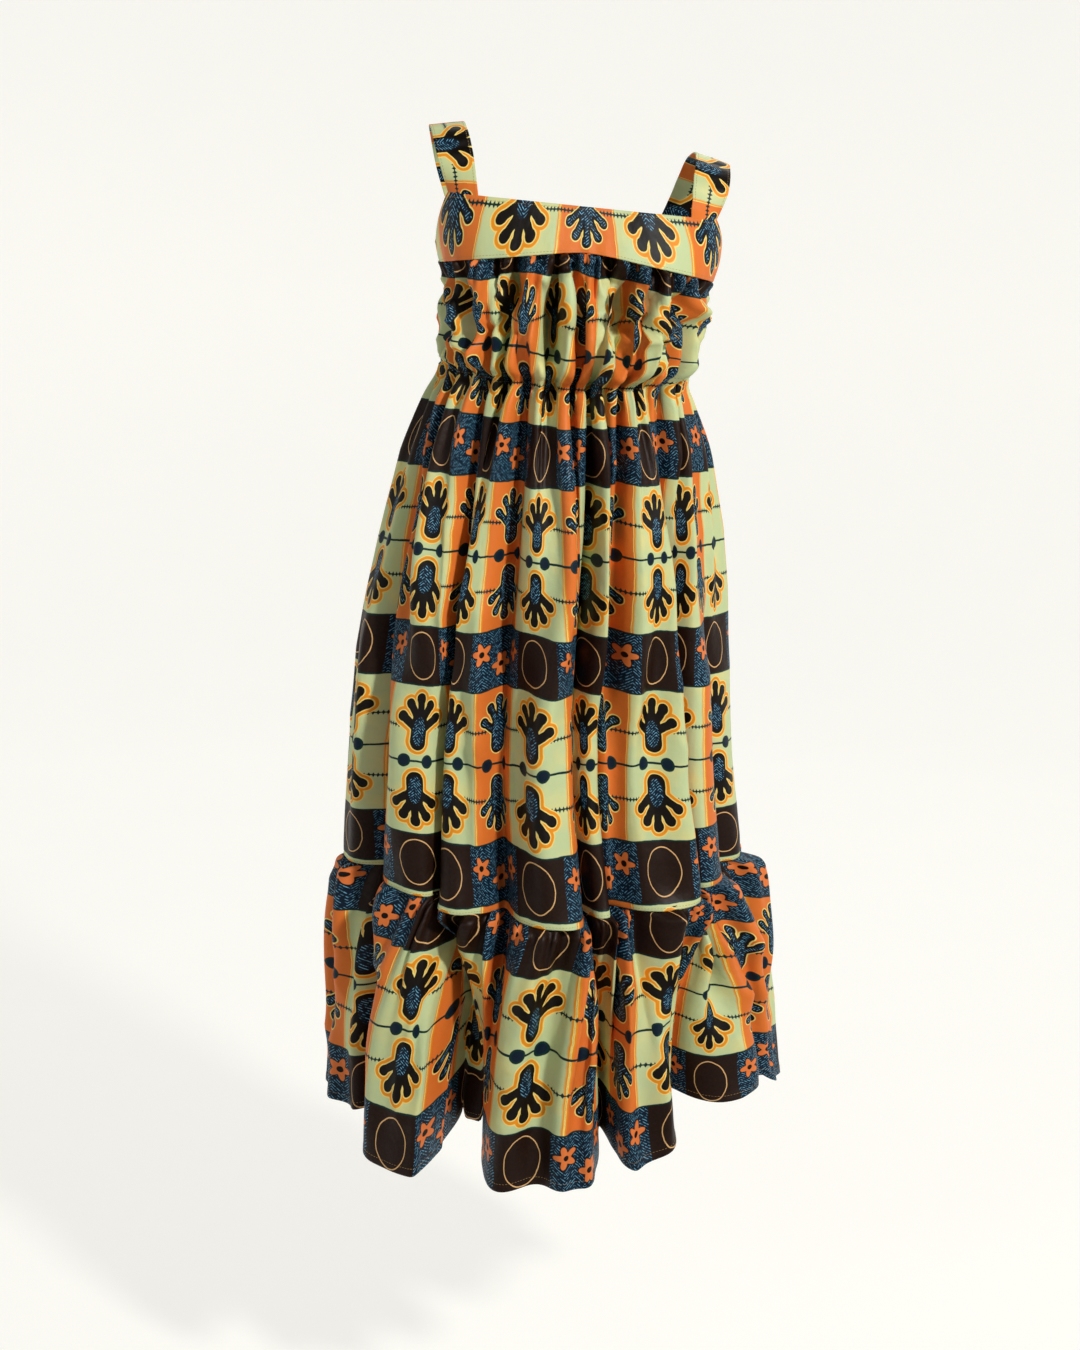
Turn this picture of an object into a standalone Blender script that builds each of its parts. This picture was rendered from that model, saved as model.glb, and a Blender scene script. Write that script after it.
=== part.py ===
"""A sleeveless wax print sundress, filled out as it is worn, with no wearer inside.

A plain yoke band runs round the chest and carries two wide shoulder straps. Front and back
panels, each cut in one length, hang from the yoke. They are gathered into it, drawn in by
elastic at the waist and gathered again into a deep ruffle at the hem. The straps rest on the
wearer's shoulders, and the origin lies midway between the undersides of the two straps.
+X is the wearer's left, -Y is the front and +Z is up. Sizes are in metres, angles in degrees.
"""

from collections import namedtuple

import bpy
import numpy as np

# Walls and seams. The yoke and the straps are of doubled cloth.
CLOTH_WALL = 0.0012
DOUBLE_WALL = 0.0016
SEAM_GAP = 0.0003
# How much further out a sharp fold's edge may stand than the wall beside it
SHARPEST_BEND = 1.6

# Levels on the centre front, measured down from the shoulder
NECK_Z = -0.064
YOKE_SEAM_Z = -0.108
WAIST_Z = -0.243
RUFFLE_SEAM_Z = -0.788
HEM_Z = -1.065

# The yoke's edges at the centre back and at the side seams
BACK_NECK_Z = -0.108
BACK_YOKE_SEAM_Z = -0.152
UNDERARM_Z = -0.113
SIDE_YOKE_SEAM_Z = -0.1315

# Straps
STRAP_WIDTH = 0.036
STRAP_FRONT_DEG = 29.0
STRAP_BACK_DEG = 42.0
STRAP_TOP_OUTER_DROP = 0.008
SHOULDER_TILT_DEG = 5.8
# The share of a strap's length, from each end, over which it flattens from the yoke's curve
STRAP_END_CURVE = 0.25

# Gathers in each half of the garment, and the points that draw each one
PANEL_GATHERS = 18
RUFFLE_GATHERS = 16
POINTS_PER_GATHER = 4
# The rise of a gather's side over its run
STEEPEST_GATHER = 0.9

# Loop angles: 0 is the wearer's right side seam, 90 the centre front, 180 the left side seam
# and 270 the centre back.
HALF_TURN = 180.0
FULL_TURN = 360.0

Section = namedtuple("Section", "z mid_x half_width front back square tilt")
BODY_SECTIONS = (
    Section(-0.060, 0.0005, 0.1450, 0.088, 0.100, 3.4, 4.4),
    Section(-0.108, 0.0000, 0.1450, 0.106, 0.106, 3.1, 3.2),
    Section(-0.150, -0.0015, 0.1350, 0.121, 0.106, 2.8, 3.0),
    Section(-0.195, -0.0035, 0.1320, 0.126, 0.107, 2.6, 2.8),
    Section(-0.222, -0.0060, 0.1315, 0.118, 0.103, 2.5, 2.4),
    Section(-0.241, -0.0095, 0.1290, 0.101, 0.096, 2.3, 2.2),
    Section(-0.262, -0.0120, 0.1380, 0.108, 0.104, 2.2, 1.8),
    Section(-0.300, -0.0135, 0.1530, 0.119, 0.117, 2.1, 1.0),
    Section(-0.350, -0.0160, 0.1660, 0.129, 0.130, 2.0, 0.3),
    Section(-0.450, -0.0205, 0.1835, 0.142, 0.146, 2.0, 0.0),
    Section(-0.550, -0.0250, 0.1920, 0.150, 0.155, 2.0, 0.0),
    Section(-0.650, -0.0250, 0.1975, 0.157, 0.161, 2.0, 0.0),
    Section(RUFFLE_SEAM_Z, -0.0160, 0.2030, 0.165, 0.168, 2.0, 0.0),
)
HEM_SECTION = Section(HEM_Z, 0.0000, 0.2460, 0.203, 0.203, 2.1, 0.0)

# A fold runs from its own valley to the next row's valley: how far in the valley lies, and how
# far out the crest between them stands, both from the section ring.
Fold = namedtuple("Fold", "valley_deg valley_depth crest_height")
SKIRT_FOLDS = (
    Fold(-2.0, 0.010, 0.017),
    Fold(19.6, 0.014, 0.016),
    Fold(48.8, 0.018, 0.014),
    Fold(69.5, 0.016, 0.020),
    Fold(102.2, 0.026, 0.004),
    Fold(112.5, 0.020, 0.020),
    Fold(142.8, 0.026, 0.018),
    Fold(163.7, 0.012, 0.016),
    Fold(186.0, 0.012, 0.016),
    Fold(209.0, 0.018, 0.018),
    Fold(235.0, 0.018, 0.017),
    Fold(262.0, 0.016, 0.019),
    Fold(288.0, 0.020, 0.017),
    Fold(312.0, 0.014, 0.016),
    Fold(336.0, 0.016, 0.016),
)
RUFFLE_FOLDS = (
    Fold(-4.0, 0.044, 0.004),
    Fold(33.0, 0.060, 0.006),
    Fold(66.0, 0.088, 0.006),
    Fold(105.5, 0.080, 0.004),
    Fold(128.5, 0.070, 0.010),
    Fold(168.0, 0.040, 0.014),
    Fold(196.0, 0.050, 0.004),
    Fold(226.0, 0.064, 0.004),
    Fold(262.0, 0.072, 0.004),
    Fold(290.0, 0.062, 0.004),
    Fold(326.0, 0.052, 0.004),
)
# How far a crest spreads sideways over its valleys, as a share of the fold's width, and how
# narrow the valley is: 2 for an even wave, more for a broad crest.
Look = namedtuple("Look", "folds spread sharpness")
SKIRT_LOOK = Look(SKIRT_FOLDS, 0.05, 2.6)
RUFFLE_LOOK = Look(RUFFLE_FOLDS, 0.06, 3.6)
# The ruffle's points run straight down it: 0 spaces them evenly on its seam, 1 on its hem.
RUFFLE_COLUMN_SHARE = 0.8
# Below 1 the ruffle stands out soon below its seam, above 1 it stands out near the hem.
FLARE_POWER = 0.42

# Down each panel: the level at the centre front and back, how much higher the sides hang, how
# much of the big folds shows there, and how deep the gathers are
Row = namedtuple("Row", "z side_rise fold_share gather_depth")
PANEL_ROWS = (
    Row(YOKE_SEAM_Z, 0.000, 0.00, 0.0022),
    Row(-0.128, 0.004, 0.04, 0.0042),
    Row(-0.160, 0.008, 0.10, 0.0040),
    Row(-0.195, 0.011, 0.12, 0.0040),
    Row(-0.222, 0.013, 0.08, 0.0040),
    Row(WAIST_Z, 0.014, 0.02, 0.0028),
    Row(-0.264, 0.014, 0.08, 0.0046),
    Row(-0.302, 0.013, 0.16, 0.0058),
    Row(-0.362, 0.011, 0.28, 0.0052),
    Row(-0.452, 0.009, 0.46, 0.0028),
    Row(-0.562, 0.009, 0.68, 0.0010),
    Row(-0.672, 0.012, 0.86, 0.0006),
    Row(RUFFLE_SEAM_Z, 0.016, 1.00, 0.0016),
)
RUFFLE_ROWS = (
    Row(RUFFLE_SEAM_Z, 0.016, 0.00, 0.0030),
    Row(-0.808, 0.015, 0.14, 0.0075),
    Row(-0.851, 0.011, 0.44, 0.0070),
    Row(-0.920, 0.006, 0.78, 0.0030),
    Row(-0.995, 0.002, 0.95, 0.0010),
    Row(HEM_Z, 0.000, 1.00, 0.0000),
)

YOKE_COLUMNS = 28
YOKE_ROWS = 3
STRAP_ROWS = 26
STRAP_COLUMNS = 4
LENGTH_SAMPLES = 4000

# The wall and the print's average colour in each kind of piece
Cloth = namedtuple("Cloth", "wall colour")
BAND_CLOTH = Cloth(DOUBLE_WALL, (0.60, 0.50, 0.26, 1.0))
PANEL_CLOTH = Cloth(CLOTH_WALL, (0.47, 0.38, 0.20, 1.0))
RUFFLE_CLOTH = Cloth(CLOTH_WALL, (0.34, 0.30, 0.19, 1.0))
CLOTH_ROUGHNESS = 0.62

# A strap's middle line over the shoulder: the share of its length from the front, the depth, the
# drop from the shoulder and the distance out from the dress's middle
StrapPoint = namedtuple("StrapPoint", "share y drop spacing")
STRAP_RUN = (
    StrapPoint(0.20, -0.054, 0.028, 0.1300),
    StrapPoint(0.36, -0.030, 0.006, 0.1350),
    StrapPoint(0.48, 0.000, 0.000, 0.1365),
    StrapPoint(0.60, 0.034, 0.008, 0.1340),
    StrapPoint(0.78, 0.070, 0.046, 0.1240),
)


def clear_scene():
    """Removes every object that the file opened with."""
    for item in list(bpy.data.objects):
        bpy.data.objects.remove(item, do_unlink=True)


def eased(x, knots, values):
    """A smooth curve through the table's values, with the knots in rising order."""
    knots = np.asarray(knots, float)
    values = np.asarray(values, float)
    slope = np.gradient(values, knots)
    x = np.clip(x, knots[0], knots[-1])
    i = np.clip(np.searchsorted(knots, x) - 1, 0, len(knots) - 2)
    step = knots[i + 1] - knots[i]
    t = (x - knots[i]) / step
    return (
        values[i] * (1 + 2 * t) * (1 - t) ** 2
        + slope[i] * step * t * (1 - t) ** 2
        + values[i + 1] * t * t * (3 - 2 * t)
        + slope[i + 1] * step * t * t * (t - 1)
    )


def column(rows, name):
    """One named column of a table that runs downwards, turned to run upwards."""
    return [getattr(row, name) for row in reversed(rows)]


def row_value(rows, name, z):
    return eased(z, column(rows, "z"), column(rows, name))


def section_at(z, name):
    return row_value(BODY_SECTIONS, name, z)


def ring(deg, mid_x, half_width, front, back, square):
    """Points and outward directions on a rounded section, in plan."""
    turn = np.radians(deg)
    dx, dy = -np.cos(turn), -np.sin(turn)
    depth = np.where(dy < 0, front, back)
    reach = (np.abs(dx / half_width) ** square + np.abs(dy / depth) ** square) ** (-1 / square)
    x, y = reach * dx, reach * dy
    nx = np.sign(x) * np.abs(x) ** (square - 1) / half_width**square
    ny = np.sign(y) * np.abs(y) ** (square - 1) / depth**square
    size = np.hypot(nx, ny)
    return x + mid_x, y, nx / size, ny / size


def body_ring(deg, z):
    sizes = (section_at(z, name) for name in ("mid_x", "half_width", "front", "back", "square"))
    return ring(deg, *sizes)


def fold_shape(deg, look):
    """How far out each point of the loop stands, how far it slides along the loop, and how
    near a valley it is, from 0 on a crest to 1 in a valley."""
    valleys = np.array([fold.valley_deg for fold in look.folds])
    depths = np.array([fold.valley_depth for fold in look.folds])
    crests = np.array([fold.crest_height for fold in look.folds])
    start = valleys[0]
    turned = (np.asarray(deg, float) - start) % FULL_TURN + start
    i = np.searchsorted(valleys, turned, side="right") - 1
    following = (i + 1) % len(look.folds)
    width = (valleys[following] - valleys[i]) % FULL_TURN
    t = (turned - valleys[i]) / width
    crest = 1 - np.abs(np.cos(np.pi * t)) ** look.sharpness
    eased_t = t * t * (3 - 2 * t)
    depth = depths[i] * (1 - eased_t) + depths[following] * eased_t
    out = crests[i] * crest - depth * (1 - crest)
    slide = -look.spread * width * np.sin(2 * np.pi * t)
    return out, slide, 1 - crest


def folded_ring(deg, sizes, look):
    """The ring pushed in and out by its folds, in plan."""
    out, slide, _ = fold_shape(deg, look)
    x, y, nx, ny = ring(deg + slide, *sizes)
    return x + nx * out, y + ny * out


def even_columns(columns_per_half, sizes, look):
    """Loop angles that share the folded edge's length evenly, half by half, front then back."""
    angles = []
    for start in (0.0, HALF_TURN):
        fine = np.linspace(start, start + HALF_TURN, LENGTH_SAMPLES)
        x, y = folded_ring(fine, sizes, look)
        length = np.concatenate([[0.0], np.cumsum(np.hypot(np.diff(x), np.diff(y)))])
        even = np.linspace(0.0, length[-1], columns_per_half + 1)[:-1]
        angles.append(np.interp(even, length, fine))
    return np.concatenate(angles)


def gather_wave(columns_per_half, gathers):
    """A gather's height at each column: up, level, down, level."""
    share = np.arange(2 * columns_per_half) / columns_per_half
    wave = np.sin(2 * np.pi * gathers * share)
    uneven = 1.0 + 0.28 * np.sin(2 * np.pi * 3 * share + 0.7) + 0.2 * np.sin(2 * np.pi * 7 * share)
    return wave * uneven


def gather_height(x, y, wanted):
    """The wanted heights, held down where the columns stand too close for them."""
    points = np.stack([x, y], axis=-1)
    after = np.linalg.norm(np.roll(points, -1, axis=0) - points, axis=-1)
    limit = STEEPEST_GATHER * np.minimum(after, np.roll(after, 1))
    return np.clip(wanted, -limit, limit)


def yoke_seam_z(deg):
    """The level of the yoke's lower seam, which rises at the centre front."""
    side = np.abs(np.cos(np.radians(deg))) ** 1.6
    middle = np.where(np.sin(np.radians(deg)) > 0, YOKE_SEAM_Z, BACK_YOKE_SEAM_Z)
    return middle + (SIDE_YOKE_SEAM_Z - middle) * side


def tilted(x, z, mid_x):
    """The level after the shoulders' lean, which drops the wearer's left side."""
    return z - np.tan(np.radians(section_at(z, "tilt"))) * (x - mid_x)


def hanging_level(row, deg):
    """A row's level, which rises towards the sides."""
    return row.z + row.side_rise * np.cos(np.radians(deg)) ** 2


def panel_level(row, deg):
    """The same for a body panel, whose upper rows come out level with the yoke's seam."""
    share = np.clip((row.z - WAIST_Z) / (YOKE_SEAM_Z - WAIST_Z), 0.0, 1.0)
    seam_offset = yoke_seam_z(deg) - SEAM_GAP / 2 - YOKE_SEAM_Z
    return hanging_level(row, deg) + seam_offset * share


def body_edge_sizes():
    return tuple(
        section_at(RUFFLE_SEAM_Z, name)
        for name in ("mid_x", "half_width", "front", "back", "square")
    )


def hem_sizes():
    section = HEM_SECTION
    return section.mid_x, section.half_width, section.front, section.back, section.square


def body_grid():
    """Rows of points round the whole body, yoke seam to ruffle seam."""
    columns = PANEL_GATHERS * POINTS_PER_GATHER
    deg = even_columns(columns, body_edge_sizes(), SKIRT_LOOK)
    wave = gather_wave(columns, PANEL_GATHERS)
    rows = []
    for row in PANEL_ROWS:
        z = panel_level(row, deg)
        out, slide, _ = fold_shape(deg, SKIRT_LOOK)
        x, y, nx, ny = body_ring(deg + slide * row.fold_share, z)
        x, y = x + nx * out * row.fold_share, y + ny * out * row.fold_share
        gather = gather_height(x, y, wave * row.gather_depth)
        x, y = x + nx * gather, y + ny * gather
        rows.append(np.stack([x, y, tilted(x, z, section_at(z, "mid_x"))], axis=-1))
    return np.array(rows)


def ruffle_grid():
    """Rows of points round the ruffle. Its top follows the skirt's folded edge."""
    columns = RUFFLE_GATHERS * POINTS_PER_GATHER
    top_deg = even_columns(columns, body_edge_sizes(), SKIRT_LOOK)
    hem_deg = even_columns(columns, hem_sizes(), RUFFLE_LOOK)
    deg = top_deg + (hem_deg - top_deg) * RUFFLE_COLUMN_SHARE
    wave = gather_wave(columns, RUFFLE_GATHERS)
    rows = []
    for row in RUFFLE_ROWS:
        share = row.fold_share
        skirt_out, skirt_slide, _ = fold_shape(deg, SKIRT_LOOK)
        ruffle_out, ruffle_slide, valley = fold_shape(deg, RUFFLE_LOOK)
        out = skirt_out * (1 - share) + ruffle_out * share
        slide = skirt_slide * (1 - share) + ruffle_slide * share
        flare = ((RUFFLE_SEAM_Z - row.z) / (RUFFLE_SEAM_Z - HEM_Z)) ** FLARE_POWER
        sizes = [a + (b - a) * flare for a, b in zip(body_edge_sizes(), hem_sizes())]
        x, y, nx, ny = ring(deg + slide, *sizes)
        x, y = x + nx * out, y + ny * out
        gather = gather_height(x, y, wave * row.gather_depth * (1 - valley * share))
        x, y = x + nx * gather, y + ny * gather
        rows.append(np.stack([x, y, hanging_level(row, deg)], axis=-1))
    rows = np.array(rows)
    rows[0, :, 2] -= SEAM_GAP
    return rows


def directions(grid, axis, closed):
    """At each point, the sum of the unit steps to it and from it along the rows or columns."""
    following = np.roll(grid, -1, axis=axis) - grid
    following /= np.linalg.norm(following, axis=-1, keepdims=True)
    previous = np.roll(following, 1, axis=axis)
    if not closed:
        following[(slice(None),) * axis + (-1,)] = previous[(slice(None),) * axis + (-1,)]
        previous[(slice(None),) * axis + (0,)] = following[(slice(None),) * axis + (0,)]
    return following + previous


def outward(grid, closed):
    """Outward directions of a grid whose rows run round the body and columns run down it.

    They are longer where the cloth bends, so that its wall keeps its thickness there.
    """
    across = directions(grid, 1, closed)
    down = directions(grid, 0, False)
    normal = np.cross(down, across)
    normal[0, :, 2] = 0.0
    normal[-1, :, 2] = 0.0
    normal /= np.linalg.norm(normal, axis=-1, keepdims=True)
    bend = 2.0 / np.linalg.norm(across, axis=-1, keepdims=True)
    return normal * np.minimum(bend, SHARPEST_BEND)


def drawn_in(grid):
    """The end columns moved half a seam gap into the piece, along the cloth."""
    grid = grid.copy()
    for end, beside in ((0, 1), (-1, -2)):
        step = grid[:, beside] - grid[:, end]
        grid[:, end] += step / np.linalg.norm(step, axis=-1, keepdims=True) * SEAM_GAP / 2
    return grid


def wall(name, middle, normals, cloth):
    """A closed wall of cloth about a grid of middle points."""
    down, across = middle.shape[:2]
    outer = middle + normals * cloth.wall / 2
    inner = middle - normals * cloth.wall / 2
    points = np.concatenate([outer.reshape(-1, 3), inner.reshape(-1, 3)])
    back = down * across

    def at(r, c):
        return r * across + c

    faces = []
    # Both skins split each square along its shorter diagonal, so the wall keeps its thickness.
    falling = np.linalg.norm(middle[1:, 1:] - middle[:-1, :-1], axis=-1)
    rising = np.linalg.norm(middle[1:, :-1] - middle[:-1, 1:], axis=-1)
    for r in range(down - 1):
        for c in range(across - 1):
            a, b, d, e = at(r, c), at(r + 1, c), at(r + 1, c + 1), at(r, c + 1)
            halves = ((a, b, d), (a, d, e)) if falling[r, c] <= rising[r, c] else ((a, b, e), (b, d, e))
            for half in halves:
                faces.append(half)
                faces.append([back + i for i in reversed(half)])
    rim = [at(0, c) for c in range(across)]
    rim += [at(r, across - 1) for r in range(1, down)]
    rim += [at(down - 1, c) for c in range(across - 2, -1, -1)]
    rim += [at(r, 0) for r in range(down - 2, 0, -1)]
    # Both sides of a seam split their edges from the outer skin down to the inner one.
    for i, here in enumerate(rim):
        following = rim[(i + 1) % len(rim)]
        inner_here, inner_following = back + here, back + following
        if here < following:
            faces += [(here, following, inner_following), (here, inner_following, inner_here)]
        else:
            faces += [(here, following, inner_here), (following, inner_following, inner_here)]
    mesh = bpy.data.meshes.new(name)
    mesh.from_pydata(points.tolist(), [], faces)
    mesh.shade_smooth()
    mesh.materials.append(material(name + "_cloth", cloth.colour))
    mesh.update()
    item = bpy.data.objects.new(name, mesh)
    bpy.context.scene.collection.objects.link(item)
    return item


def material(name, colour):
    made = bpy.data.materials.new(name)
    made.use_nodes = True
    shader = made.node_tree.nodes["Principled BSDF"]
    shader.inputs["Base Color"].default_value = colour
    shader.inputs["Roughness"].default_value = CLOTH_ROUGHNESS
    shader.inputs["Metallic"].default_value = 0.0
    return made


def front_and_back(grid, names, cloth):
    """The two halves of a closed loop of cloth, parted at the side seams."""
    normals = outward(grid, closed=True)
    half = grid.shape[1] // 2
    looped = np.concatenate([grid, grid[:, :1]], axis=1)
    looped_normals = np.concatenate([normals, normals[:, :1]], axis=1)
    for i, name in enumerate(names):
        part = slice(i * half, (i + 1) * half + 1)
        wall(name, drawn_in(looped[:, part]), looped_normals[:, part], cloth)


def yoke_top_z(deg):
    """The level of the yoke's upper edge: straight between the straps, low under the arms."""
    from_side = np.minimum(deg % HALF_TURN, HALF_TURN - deg % HALF_TURN)
    front = np.sin(np.radians(deg)) > 0
    strap_deg = np.where(front, STRAP_FRONT_DEG, STRAP_BACK_DEG)
    middle = np.where(front, NECK_Z, BACK_NECK_Z)
    t = np.clip(from_side / (strap_deg - strap_half_deg()), 0.0, 1.0)
    return UNDERARM_Z + (middle - UNDERARM_Z) * t**1.5


def strap_half_deg():
    """Half of the loop angle that a strap's end covers on the yoke."""
    x, y, _, _ = ring(STRAP_FRONT_DEG, *yoke_edge_sizes())
    return np.degrees(STRAP_WIDTH / 2 / np.hypot(x, y))


def yoke_edge_sizes():
    return tuple(
        section_at(NECK_Z, name) for name in ("mid_x", "half_width", "front", "back", "square")
    )


def yoke_point(deg, z):
    x, y, _, _ = body_ring(deg, z)
    return np.stack([x, y, tilted(x, z, section_at(z, "mid_x"))], axis=-1)


def yoke_grid():
    """Rows of points round the chest, from the yoke's upper edge to its seam."""
    deg = np.linspace(0.0, FULL_TURN, 2 * YOKE_COLUMNS, endpoint=False)
    top, seam = yoke_top_z(deg), yoke_seam_z(deg) + SEAM_GAP / 2
    shares = np.linspace(0.0, 1.0, YOKE_ROWS + 1)
    return np.array([yoke_point(deg, top + (seam - top) * share) for share in shares])


def strap_end_degs(side, front, shares):
    """Loop angles across a strap's end, from its inner edge to its outer edge."""
    middle = STRAP_FRONT_DEG if front else STRAP_BACK_DEG
    from_side = middle + strap_half_deg() * (1 - 2 * shares)
    if front:
        return HALF_TURN - from_side if side > 0 else from_side
    return HALF_TURN + from_side if side > 0 else FULL_TURN - from_side


def strap_edge(side, outer):
    """One long edge of a strap, from the front yoke over the shoulder to the back yoke."""
    edge = 1.0 if outer else -1.0
    degs = [strap_end_degs(side, front, np.array((edge + 1) / 2)) for front in (True, False)]
    ends = [yoke_point(deg, yoke_top_z(deg) + SEAM_GAP) for deg in degs]
    shares, points = [0.0], [ends[0]]
    for row in STRAP_RUN:
        x = side * (row.spacing + edge * STRAP_WIDTH / 2)
        z = -row.drop - edge * STRAP_TOP_OUTER_DROP / 2
        z -= np.tan(np.radians(SHOULDER_TILT_DEG)) * x
        shares.append(row.share)
        points.append(np.array([x, row.y, z]))
    shares.append(1.0)
    points.append(ends[1])
    even = np.linspace(0.0, 1.0, STRAP_ROWS + 1)
    return np.stack([eased(even, shares, [p[i] for p in points]) for i in range(3)], axis=-1)


def strap_grid(side):
    """Rows of points along a strap: curved like the yoke at its ends and flat between."""
    inner, outer = strap_edge(side, outer=False), strap_edge(side, outer=True)
    shares = np.linspace(0.0, 1.0, STRAP_COLUMNS + 1)
    grid = inner[:, None] + (outer - inner)[:, None] * shares[None, :, None]
    along = np.linspace(0.0, 1.0, STRAP_ROWS + 1)
    for front, from_end in ((True, along), (False, 1 - along)):
        deg = strap_end_degs(side, front, shares)
        bow = yoke_point(deg, yoke_top_z(deg) + SEAM_GAP) - grid[0 if front else -1]
        fade = np.clip(1 - from_end / STRAP_END_CURVE, 0.0, 1.0) ** 2
        grid = grid + bow[None] * fade[:, None, None]
    return grid


def strap(name, side):
    """A wide flat strap, sewn to the yoke's upper edge in front and behind."""
    grid = strap_grid(side)
    # Rows that run forwards and columns that run to the wearer's left put the outer skin on top.
    grid = grid[::-1] if side > 0 else grid[::-1, ::-1]
    wall(name, grid, outward(grid, closed=False), BAND_CLOTH)


def build():
    clear_scene()
    front_and_back(yoke_grid(), ("front_yoke", "back_yoke"), BAND_CLOTH)
    strap("strap_right", side=-1)
    strap("strap_left", side=1)
    front_and_back(body_grid(), ("front_panel", "back_panel"), PANEL_CLOTH)
    front_and_back(ruffle_grid(), ("front_ruffle", "back_ruffle"), RUFFLE_CLOTH)


build()
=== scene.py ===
"""Makes a gathered wax print sundress in its worn shape, with its stitching and a plain studio."""

from collections import namedtuple

import bpy
import numpy as np
from bpy.props import FloatProperty, FloatVectorProperty, IntProperty, PointerProperty
from mathutils import Matrix, Vector


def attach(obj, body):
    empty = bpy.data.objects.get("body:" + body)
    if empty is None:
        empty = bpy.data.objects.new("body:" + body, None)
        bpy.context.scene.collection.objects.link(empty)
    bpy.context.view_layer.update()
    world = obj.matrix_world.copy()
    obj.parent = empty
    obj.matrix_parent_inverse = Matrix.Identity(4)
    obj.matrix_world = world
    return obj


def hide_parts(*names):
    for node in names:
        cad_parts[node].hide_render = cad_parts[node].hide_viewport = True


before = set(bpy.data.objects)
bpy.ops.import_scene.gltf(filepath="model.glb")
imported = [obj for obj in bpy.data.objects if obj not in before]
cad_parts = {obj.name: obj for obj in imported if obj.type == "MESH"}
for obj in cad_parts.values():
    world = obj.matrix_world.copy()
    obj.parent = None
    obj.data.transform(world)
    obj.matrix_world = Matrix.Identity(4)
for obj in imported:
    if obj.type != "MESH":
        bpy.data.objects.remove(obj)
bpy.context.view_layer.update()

bl_info = {
    "name": "Wax print sundress",
    "version": (1, 0, 0),
    "blender": (4, 5, 0),
    "location": "3D View > Sidebar > Sundress",
    "description": "Makes a gathered wax print sundress in its worn shape",
    "category": "Add Mesh",
}

MM = 1000.0

# Levels on the centre front, down from the shoulder, in metres, as in the solids
NECK_Z = -0.064
YOKE_SEAM_Z = -0.108
WAIST_Z = -0.243
RUFFLE_SEAM_Z = -0.788
HEM_Z = -1.065
BACK_NECK_Z = -0.108
BACK_YOKE_SEAM_Z = -0.152
UNDERARM_Z = -0.113
SIDE_YOKE_SEAM_Z = -0.1315

STRAP_WIDTH = 0.036
STRAP_FRONT_DEG = 29.0
STRAP_BACK_DEG = 42.0
STRAP_TOP_OUTER_DROP = 0.008
SHOULDER_TILT_DEG = 5.8
STRAP_END_CURVE = 0.25

# Loop angles: 0 is the wearer's right side seam, 90 the centre front, 180 the left side seam
# and 270 the centre back.
HALF_TURN = 180.0
FULL_TURN = 360.0

Section = namedtuple("Section", "z mid_x half_width front back square tilt")
BODY_SECTIONS = (
    Section(-0.060, 0.0005, 0.1450, 0.088, 0.100, 3.4, 4.4),
    Section(-0.108, 0.0000, 0.1450, 0.106, 0.106, 3.1, 3.2),
    Section(-0.150, -0.0015, 0.1350, 0.121, 0.106, 2.8, 3.0),
    Section(-0.195, -0.0035, 0.1320, 0.126, 0.107, 2.6, 2.8),
    Section(-0.222, -0.0060, 0.1315, 0.118, 0.103, 2.5, 2.4),
    Section(-0.241, -0.0095, 0.1290, 0.101, 0.096, 2.3, 2.2),
    Section(-0.262, -0.0120, 0.1380, 0.108, 0.104, 2.2, 1.8),
    Section(-0.300, -0.0135, 0.1530, 0.119, 0.117, 2.1, 1.0),
    Section(-0.350, -0.0160, 0.1660, 0.129, 0.130, 2.0, 0.3),
    Section(-0.450, -0.0205, 0.1835, 0.142, 0.146, 2.0, 0.0),
    Section(-0.550, -0.0250, 0.1920, 0.150, 0.155, 2.0, 0.0),
    Section(-0.650, -0.0250, 0.1975, 0.157, 0.161, 2.0, 0.0),
    Section(RUFFLE_SEAM_Z, -0.0160, 0.2030, 0.165, 0.168, 2.0, 0.0),
)
HEM_SECTION = Section(HEM_Z, 0.0000, 0.2460, 0.203, 0.203, 2.1, 0.0)

# A fold runs from its own valley to the next row's valley. Its crest may lean to the wearer's
# left, as a share of its height.
Fold = namedtuple("Fold", "valley_deg valley_depth crest_height lean")
SKIRT_FOLDS = (
    Fold(-2.0, 0.014, 0.016, 0.0),
    Fold(19.6, 0.024, 0.015, 0.25),
    Fold(48.8, 0.053, 0.014, -0.35),
    Fold(69.5, 0.036, 0.020, 0.3),
    Fold(102.2, 0.049, -0.004, 0.1),
    Fold(112.5, 0.046, 0.020, 0.5),
    Fold(142.8, 0.050, 0.018, -0.3),
    Fold(163.7, 0.020, 0.016, 0.1),
    Fold(186.0, 0.018, 0.016, 0.1),
    Fold(209.0, 0.038, 0.018, -0.3),
    Fold(235.0, 0.034, 0.017, 0.3),
    Fold(262.0, 0.030, 0.019, 0.0),
    Fold(288.0, 0.042, 0.017, 0.4),
    Fold(312.0, 0.026, 0.016, -0.3),
    Fold(336.0, 0.028, 0.016, 0.1),
)
RUFFLE_FOLDS = (
    Fold(-4.0, 0.040, 0.009, 0.0),
    Fold(23.5, 0.052, 0.014, 0.3),
    Fold(47.5, 0.090, -0.086, 0.0),
    Fold(58.5, 0.090, 0.006, 0.0),
    Fold(105.5, 0.080, 0.004, -0.05),
    Fold(128.5, 0.072, 0.014, 0.2),
    Fold(168.0, 0.040, 0.013, -0.1),
    Fold(196.0, 0.050, 0.004, 0.1),
    Fold(226.0, 0.064, 0.004, -0.1),
    Fold(262.0, 0.072, 0.004, 0.1),
    Fold(290.0, 0.062, 0.004, 0.0),
    Fold(326.0, 0.052, 0.010, -0.1),
)
Look = namedtuple("Look", "folds spread sharpness")
SKIRT_LOOK = Look(SKIRT_FOLDS, 0.08, 3.4)
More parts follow.
